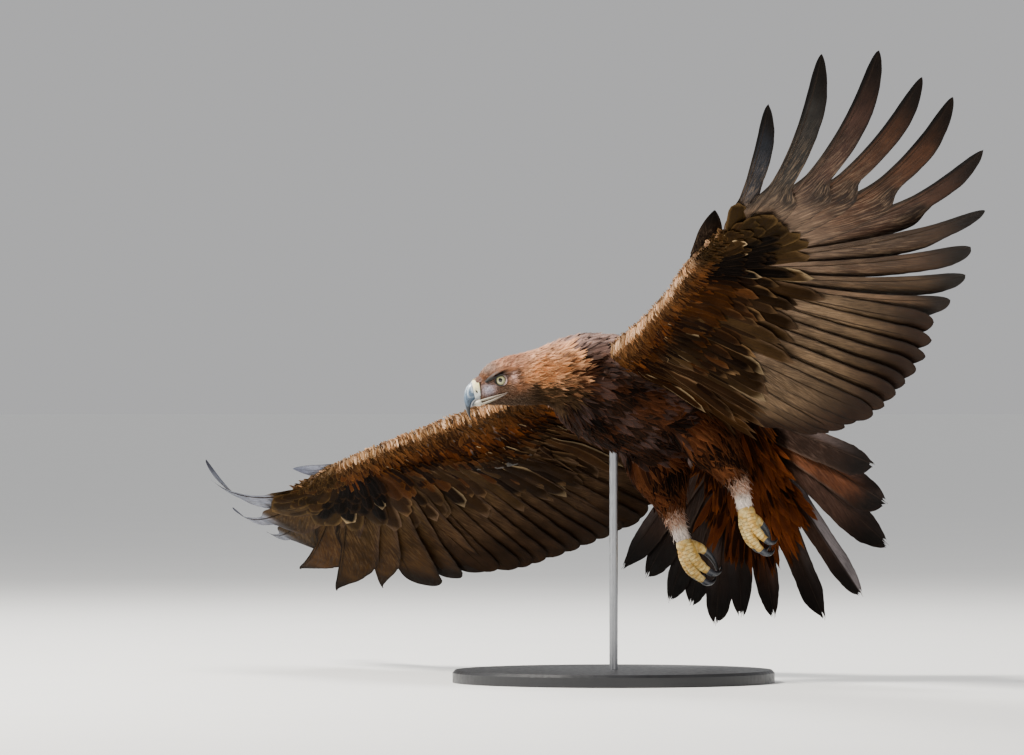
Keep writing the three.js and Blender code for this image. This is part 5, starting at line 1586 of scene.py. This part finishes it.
def drape(points, normals, lie, length, count, tree):
    """Lines that start at points and run along the skin, with the skin's normals."""
    n = len(points)
    path = np.empty((n, count, 3))
    outs = np.empty((n, count, 3))
    path[:, 0] = points
    outs[:, 0] = normals
    for i in range(n):
        spot, way = Vector(points[i]), Vector(lie[i])
        hop = float(length[i]) / (count - 1)
        for k in range(1, count):
            place, normal, _, _ = tree.find_nearest(spot + way * hop)
            moved = place - spot
            way = (way - normal * way.dot(normal)).normalized()
            spot = place if moved.length > hop * 0.3 else spot + way * hop
            path[i, k] = spot
            outs[i, k] = normal
    return path, outs


def bill_rings(sections, rows, around):
    """Rings of bill or cere from their sections."""
    table = spline(sections, np.linspace(0, len(sections) - 1, rows))
    turn = circle(around)
    t = (1 + np.sin(turn)) / 2
    rings = [np.stack([lerp(x0, x1, t), half * np.cos(turn), lerp(z0, z1, t)], -1)
             for x1, z1, x0, z0, half in table]
    return np.array(rings)


def eye_middle(side):
    """Middle of an eyeball."""
    return on_head([0, side * EYE["side"], 0])


def eye_look(side):
    """Direction in which an eye looks."""
    t = math.radians(EYE["forward"])
    return unit(on_head([math.sin(t), side * math.cos(t), 0]) - HEAD_AT)


def bill_parts(horn, soft, feather):
    """Upper and lower bill, cere, forehead feathers and the edges of the mouth."""
    points, faces = loft(bill_rings(BILL_UPPER, 60, 48))
    depth = np.clip((-points[:, 2] + 3) / 52, 0, 1)[:, None]
    streak = 0.12 * np.sin(points[:, 1:2] * 2.2 + points[:, 2:] * 0.15)
    tint = between("aab6c0", "43566a", smooth(0.05, 0.42, depth + streak))
    tint = between(tint, "15161a", smooth(0.42, 0.78, depth + 0.6 * streak))
    tinted_piece("bill_upper_horn", on_head(points), faces, horn, tint, "bill_upper")
    points, faces = loft(bill_rings(BILL_LOWER, 20, 28))
    tint = between("b4ad9c", "3c4248", smooth(38, 45.5, points[:, :1]))
    tinted_piece("bill_lower_horn", on_head(points), faces, horn, tint, "bill_lower")

    points, faces = loft(bill_rings(CERE, 50, 96))
    x0, z0 = NOSTRIL["at"]
    slant = math.radians(NOSTRIL["slant"])
    du = (points[:, 0] - x0) * math.cos(slant) - (points[:, 2] - z0) * math.sin(slant)
    dv = (points[:, 0] - x0) * math.sin(slant) + (points[:, 2] - z0) * math.cos(slant)
    hole = np.exp(-((du / NOSTRIL["wide"]) ** 2 + (dv / NOSTRIL["long"]) ** 2) * 1.6)
    points[:, 1] -= np.sign(points[:, 1]) * hole * NOSTRIL["depth"]
    tint = between("cdd2d0", "e9dea6", smooth(-17, -3, points[:, 2:]))
    tint = between(tint, "aab4bd", smooth(40.5, 44, points[:, :1]))
    # The nostril's hollow is painted dark: painted shade inside it
    tint = between(tint, "2c2118", smooth(0.3, 0.62, hole)[:, None])
    tinted_piece("cere_skin", on_head(points), faces, soft, tint, "cere")

    forehead_feathers(feather)

    # The pale edges of the mouth, one above and one below, from the bill back to under the eye
    pieces = []
    for line in (GAPE["upper"], GAPE["lower"]):
        fine = np.linspace(0, len(line) - 1, 40)
        for side in (1, -1):
            edge = spline(np.array(line) * [1, side, 1], fine)
            rings = tube_rings(edge, spline(GAPE["radii"], fine), np.array([0, 0, 1.0]), 12)
            pieces.append(loft(on_head(rings)))
    points, faces = merged(pieces)
    local = to_head(points)
    tint = between("78705f", "453528", smooth(32, -2, local[:, :1] + 5 * np.sin(local[:, 2:] * 3)))
    tinted_piece("gape", points, faces, soft, tint, "head")


def small_feathers(vanes, root, lie, normal, length, rise, half, tip, tint, rim, home, thick, seed):
    """Add small feathers of the head, in the head's frame, with a rim as many times brighter."""
    s = np.linspace(0, 1, 4)
    shafts = (root[:, None] + lie[:, None] * (length[:, None] * s)[..., None]
              + normal[:, None] * (rise[0] + rise[1] * s)[None, :, None])
    down, out = faced(shafts, normal[:, None])
    wide = half * covert_shape(s, tip)[None] * np.ones((len(root), 1))
    vanes.add(on_head(shafts), np.cross(out, down) @ HEAD_AXES.T, out @ HEAD_AXES.T, wide, wide, tint,
              tint * rim, home, 3, thick, 0.1, seed=seed)


def forehead_feathers(feather):
    """Small feathers that run out over the top of the cere to a ragged edge."""
    random = np.random.default_rng(93)
    count = FOREHEAD_FEATHERS
    angle = math.pi / 2 + random.uniform(-1, 1, count) * 1.15
    reach = 1.25 - 0.75 * (np.abs(angle - math.pi / 2) / 1.15) ** 1.5
    along = np.clip(reach - 1.6 * random.random(count) ** 1.4 + random.normal(0, 0.08, count), -0.2, 2)
    table = spline(CERE, np.clip(along, 0, 2))
    x1, z1, x0, z0, half = table.T
    t = (1 + np.sin(angle)) / 2
    root = np.stack([lerp(x0, x1, t), half * np.cos(angle), lerp(z0, z1, t)], -1)
    root[:, 0] += np.minimum(along, 0) * 6
    normal = unit(np.stack([0.25 + 0 * angle, np.cos(angle) / half * 14, np.sin(angle)], -1))
    lie = np.array([-1, 0, 0.75]) + np.stack([0 * angle, 0.35 * np.cos(angle), 0 * angle], -1)
    lie = unit(lie - normal * dot(lie, normal))
    length = random.uniform(5, 7.5, count)
    tint = between("6c574c", "94807a", random.random((count, 1)))
    home = np.stack([0.45 + 0.05 * np.cos(angle), 0.97 + 0.01 * along], -1)
    vanes = Vanes()
    small_feathers(vanes, root, lie, normal, length, (0.1, 0.7), 1.0, 0.45, tint, 1.3, home, 0.35, 16)
    vanes.pieces("forehead_feathers", feather, "golden_plumage", ("head",))


def eyeball(name, middle, axes, material):
    """An eyeball with its iris and pupil."""
    look, right, up, _ = axes
    rows, around = 90, 56
    polar = np.linspace(0.001, math.pi - 0.001, rows)[:, None]
    turn = circle(around)[None]
    ball = (look * np.cos(polar)[..., None] + right * (np.sin(polar) * np.cos(turn))[..., None]
            + up * (np.sin(polar) * np.sin(turn))[..., None])
    points, faces = loft(middle + ball * EYE["radius"])
    offset = points - middle
    wide = np.linalg.norm(offset - look * dot(offset, look), axis=1)
    wide = np.where(dot(offset, look)[:, 0] > 0, wide, 9)[:, None]
    angle = np.arctan2(offset @ up, offset @ right)[:, None]
    fleck = 0.5 + 0.5 * np.sin(angle * 17) * np.sin(angle * 7 + wide)
    iris = between("aeab82", "6f6b44", smooth(3.6, 6.0, wide) * 0.7 + 0.25 * fleck)
    tint = between("050404", iris, smooth(EYE["pupil"], EYE["pupil"] + 0.3, wide))
    tint = between(tint, "0b0908", smooth(EYE["iris"] - 0.3, EYE["iris"] + 0.3, wide))
    tinted_piece(f"eyeball_{name}", points, faces, material, tint, f"eye_{name}")


def eyelids(name, middle, axes, material):
    """The rim of the lids round an eye, pale below and behind."""
    look, right, up, forward = axes
    turn = np.arange(49) / 48 * 2 * math.pi
    rim = middle + look * math.sqrt(EYE["radius"] ** 2 - EYE["lid"] ** 2)
    line = (rim + right * (EYE["lid"] * np.cos(turn))[:, None]
            + up * (EYE["lid"] * 0.9 * np.sin(turn))[:, None])
    points, faces = loft(tube_rings(line, [1.5] * 49, look, 12))
    rear = smooth(0.1, 0.95, -unit(points - rim) @ forward)[:, None]
    below = smooth(0.3, -0.6, unit(points - rim) @ up)[:, None]
    tint = between("17110f", "c0a49c", rear * (0.45 + 0.55 * below))
    tinted_piece(f"lids_{name}", points, faces, material, tint, "head")


def brow_ridge(name, side, line, material):
    """The ridge over an eye, near black below and at its front end: painted shade under the ridge."""
    fine = np.linspace(0, 3, 36)
    centre = spline(line, fine)
    points, faces = loft(tube_rings(centre, spline(BROW["radii"], fine), np.array([0, side, 0.0]), 18))
    nearest = centre[np.argmin(np.linalg.norm(points[:, None] - centre, axis=-1), 1)]
    # The ridge's underside and front end are near black: painted shade under it
    over = smooth(-0.5, 0.35, unit(points - nearest)[:, 2:])
    tint = between("0c0908", "4a352a", over * smooth(22, 8, points[:, :1]))
    tint = between(tint, "6c5040", smooth(2, -12, points[:, :1]))
    tinted_piece(f"brow_{name}", on_head(points), faces, material, tint, "head")


def brow_feathers(vanes, random, side, line):
    """Small feathers on the ridge over an eye, paler above and behind; those on its lower side are dark as
    painted shade under the ridge.
    """
    count = BROW["feathers"]
    t = 2.9 * random.random(count) ** 1.25
    round_it = random.uniform(-0.25, 1.0, count) * math.pi / 2
    normal = np.stack([np.zeros(count), side * np.cos(round_it), np.sin(round_it)], -1)
    root = spline(line, t) + normal * (spline(BROW["radii"], t)[:, None] - 0.3)
    ahead = unit(spline(line, t + 0.1) - spline(line, t))
    length = random.uniform(5, 8, count)
    # Feathers on the ridge's lower side stay dark: painted shade under the ridge
    above = smooth(0.1, 0.8, normal[:, 2:] + random.normal(0, 0.1, (count, 1)))
    bright = np.maximum(above * smooth(0.0, 1.0, t)[:, None], smooth(1.6, 2.4, t)[:, None])
    tint = between("1a1310", "80604e", bright)
    home = np.stack([0.4 + 0.1 * side + t / 60, 0.9 + round_it / 60], -1)
    small_feathers(vanes, root, ahead, normal, length, (0, 0.9), 1.1, 0.5, tint, 1.4, home, 0.4, 15)


def eye_parts(soft, eye, feather, skin):
    """Eyeballs, lids and the feathered brow ridges over them."""
    random = np.random.default_rng(77)
    vanes = Vanes()
    for name, side in (("left", 1), ("right", -1)):
        middle, look = eye_middle(side), eye_look(side)
        right = unit(np.cross(HEAD_AXES[:, 2], look))
        forward = unit(HEAD_AXES[:, 0] - look * (HEAD_AXES[:, 0] @ look))
        axes = look, right, np.cross(look, right), forward
        eyeball(name, middle, axes, eye)
        eyelids(name, middle, axes, soft)
        line = [[x, side * y, z] for x, y, z in BROW["line"]]
        brow_ridge(name, side, line, skin)
        brow_feathers(vanes, random, side, line)
    vanes.pieces("brow_feathers", feather, "golden_plumage", ("head",))


def toe_form(line, radius, length, outward):
    """A toe along a line, with scutes across the top and pads below each joint, and its grooves."""
    fine = np.linspace(0, 4, 110)
    middle = spline(line, fine)
    size = radius * np.interp(fine, np.arange(5), TOE_SHARES)
    rings = tube_rings(middle, size, outward, 26)
    top = ((rings - middle[:, None]) @ outward) / size[:, None]
    wave = np.abs(np.sin(fine * length / 4 / SCUTE * math.pi))[:, None]
    groove = smooth(0.45, 0.0, wave) * smooth(-0.35, 0.35, top)
    joint = np.cos(fine * math.pi * 1.05)[:, None] ** 2 * smooth(0.2, -0.8, top)
    rings = middle[:, None] + (rings - middle[:, None]) * (1 - 0.1 * groove + 0.12 * joint)[..., None]
    return loft(rings), np.concatenate([groove.ravel(), [0, 0]])


def talon(name, toe, line, outward, radius, claw, bend, material):
    """The claw at the end of a toe's line, bent inwards."""
    end = unit(np.array(line[-1]) - line[-2])
    inward = unit(end * (outward @ end) - outward)
    curve = [line[-1] - end * 2]
    steps, around = 30, 18
    for k in range(steps):
        angle = math.radians(bend) * max(0, (k - 1) / (steps - 2))
        curve.append(curve[-1] + (end * math.cos(angle) + inward * math.sin(angle)) * (claw + 2) / steps)
    share = np.linspace(0, 1, steps + 1)
    radii = lerp(radius * 0.7, 0.35, share ** 1.4)
    points, faces = loft(tube_rings(curve, radii, np.cross(end, inward), around))
    shade = np.concatenate([np.repeat(share, around), [0, 1]])[:, None]
    tint = between("3c3f46", "0d0d10", smooth(0.0, 0.7, shade))
    tinted_piece(f"talon_{name}_{toe}", points, faces, material, tint, f"claw_{name}_{toe}")


def leg_parts(skin, horn):
    """Both feet with their toes and talons."""
    for name, leg in LEGS.items():
        p = leg_points(leg)
        down = unit(p["toes"] - p["ankle"])
        left = unit(np.array([0, 1.0, 0]) - down * down[1])
        front = -np.cross(left, down)
        front = front if front[0] > 0 else -front
        pad = [p["toes"] - down * (FOOT["above"] + 2), p["toes"], p["toes"] + down * FOOT["below"]]
        fine = np.linspace(0, 2, 16)
        parts = [loft(tube_rings(spline(pad, fine), spline(FOOT["radii"], fine), front, 32))]
        grooves = [np.zeros(len(parts[0][0]))]
        for toe, (offset, fan, splay, curl, length, radius, claw, bend) in TOES.items():
            t = math.radians(fan) * leg["side"]
            fanned = down * math.cos(t) + left * math.sin(t)
            outward = -front if toe == "hind" else front
            line = [p["toes"] + left * (offset * leg["side"])]
            for k in range(4):
                angle = math.radians(splay - curl * (k / 3) ** TOE_CURL_POWER)
                line.append(line[-1] + (fanned * math.cos(angle) + outward * math.sin(angle)) * length / 4)
            form, groove = toe_form(line, radius, length, outward)
            parts.append(form)
            grooves.append(groove)
            talon(name, toe, line, outward, radius, claw, bend, horn)
        points, faces = merged(parts)
        tint = patches("b98f3c", "d6bd7c", points, 9, 31)
        # The grooves between the scutes are painted dark brown: painted shade in the creases
        tint = between(tint, "3f2a12", 0.85 * np.concatenate(grooves)[:, None])
        tinted_piece(f"toes_{name}", points, faces, skin, tint, f"foot_{name}")


def camera_and_light():
    """The photo's camera, three soft lamps and a pale sky."""
    camera = bpy.data.cameras.new("camera")
    camera.sensor_width = 36
    camera.lens = FOCAL_PIXELS * 36 / PICTURE_WIDTH
    camera.clip_end = 100
    holder = bpy.data.objects.new("camera", camera)
    holder.location = CAMERA_AT
    holder.rotation_euler = (math.radians(90), 0, 0)
    bpy.context.scene.collection.objects.link(holder)
    bpy.context.scene.camera = holder
    for name, (at, size, power, tone) in LAMPS.items():
        lamp = bpy.data.lights.new(name, "AREA")
        lamp.shape = "DISK"
        lamp.size = size
        lamp.energy = power
        lamp.color = tone
        holder = bpy.data.objects.new(name, lamp)
        holder.location = at
        holder.rotation_euler = (LAMPS_AIM - Vector(at)).to_track_quat("-Z", "Y").to_euler()
        bpy.context.scene.collection.objects.link(holder)
    world = bpy.data.worlds.new("world")
    world.use_nodes = True
    background = world.node_tree.nodes["Background"]
    background.inputs[0].default_value = SKY
    background.inputs[1].default_value = SKY_STRENGTH
    bpy.context.scene.world = world


def floor_piece():
    """A pale round floor that reaches far out on all sides."""
    turn = circle(96)
    rows = np.array([np.stack([r * np.cos(turn), r * np.sin(turn), 0 * turn], -1) for r in (0.01, FLOOR)])
    material, tree, shader = new_material("floor")
    grain = noise(tree, object_place(tree), 3.0, 4.0)
    base = mixed(tree, "MIX", grain, colour("dcdddb"), colour("e2e2e0"))
    link(tree, base, shader.inputs["Base Color"])
    shader.inputs["Roughness"].default_value = 0.8
    shader.inputs["Emission Color"].default_value = SKY
    shader.inputs["Emission Strength"].default_value = FLOOR_GLOW
    mesh = bpy.data.meshes.new("floor")
    mesh.from_pydata(rows.reshape(-1, 3).tolist(), [], grid_faces(2, 96).tolist())
    for polygon in mesh.polygons:
        polygon.use_smooth = True
    mesh.materials.append(material)
    floor = bpy.data.objects.new("floor", mesh)
    bpy.context.scene.collection.objects.link(floor)


def stand_parts():
    """A smooth base in place of the faceted one, and the finishes of base and rod."""
    radius, height, bevel = BASE
    turn = circle(144)
    outline = [(radius, 0), (radius, height - bevel), (radius - bevel, height), (0.5, height)]
    rings = [np.stack([r * np.cos(turn), r * np.sin(turn), np.full(144, z)], -1) for r, z in outline]
    points, faces = loft(rings)
    for node, slot_name in (("stand_base", "stand_paint"), ("stand_rod", "stand_metal")):
        material, tree, shader = new_material(f"{node}_finish")
        grain = noise(tree, object_place(tree), 120.0, 5.0)
        metal = slot_name == "stand_metal"
        pair = ("8d8f93", "a6a8ac") if metal else ("1b1c1e", "26272a")
        link(tree, mixed(tree, "MIX", grain, *map(colour, pair)), shader.inputs["Base Color"])
        link(tree, ramp(tree, grain, 0.3, 0.45, 0.3, 0.7), shader.inputs["Roughness"])
        shader.inputs["Metallic"].default_value = 1.0 if metal else 0.0
        bump(tree, shader, grain, 0.2, 0.0002)
        if metal:
            for slot in bpy.data.objects[node].material_slots:
                slot.material = material
        else:
            base = make_piece("stand_disc", points, faces, material, None, (node,), world=True)
            base.data.shade_flat()


def main():
    """Stage, materials, skin, feathers and bare parts, in the order of their random draws."""
    camera_and_light()
    floor_piece()
    stand_parts()
    flight = {
        "left": feather_material("flight_vane_near", 0.4, 0.42, "241b14", "86705a", 0.5, 0.6, 0.06),
        # The far wing's marbling colours are darker than the near one's: painted shade
        "right": feather_material("flight_vane_far", 0.4, 0.3, "1a140d", "58452f", 0.5, 0.6, 0.004),
    }
    tail = feather_material("tail_vane", 0.4, 0.12, "1c1410", "6c5c54", 0.5, 0.6, 0.06)
    covert = feather_material("covert_vane", 0.35, 0.0, "1f1612", "a8988a", 0.4, 0.6, 0.006)
    body = feather_material("body_vane", 0.5, 0.0, "1d1511", "a8988a", 0.25, 0.65)
    points, normals, quads = joined_skin(flesh_lofts(), 4)
    part, place = regions(points)
    points = points - normals * coat_depth(part, place)[:, None]
    tree = BVHTree.FromPolygons(points.tolist(), quads.tolist())
    found = body_coat(points, quads, tree, body)
    for name, wing in WING.items():
        flight_pieces(name, wing, flight[name])
        found += wing_coverts(name, wing, covert, tree)
    tail_pieces(tail)
    found += tail_coverts(covert, tree)
    roots, tints = (np.concatenate([pair[k] for pair in found]) for k in (0, 1))
    finder = KDTree(len(roots))
    for k, root in enumerate(roots):
        finder.insert(root, k)
    finder.balance()
    tint = np.array([tints[finder.find(point)[1]] for point in points]) * 0.8
    soft = skin_material("under_skin", 200, 0.7)
    make_piece("skin", points, quads, soft, {"tint": tint}, BODY_NODES)

    horn = skin_material("horn_surface", 500, 0.3, 0.12, 0.0001)
    cere = skin_material("cere_surface", 420, 0.45, 0.12, 0.0002)
    toe = skin_material("toe_surface", 520, 0.5, 0.25, 0.0006)
    eye = skin_material("eye_surface", 900, 0.1, 0.1, 0.00002)
    bill_parts(horn, cere, body)
    eye_parts(cere, eye, body, soft)
    leg_parts(toe, horn)


main()
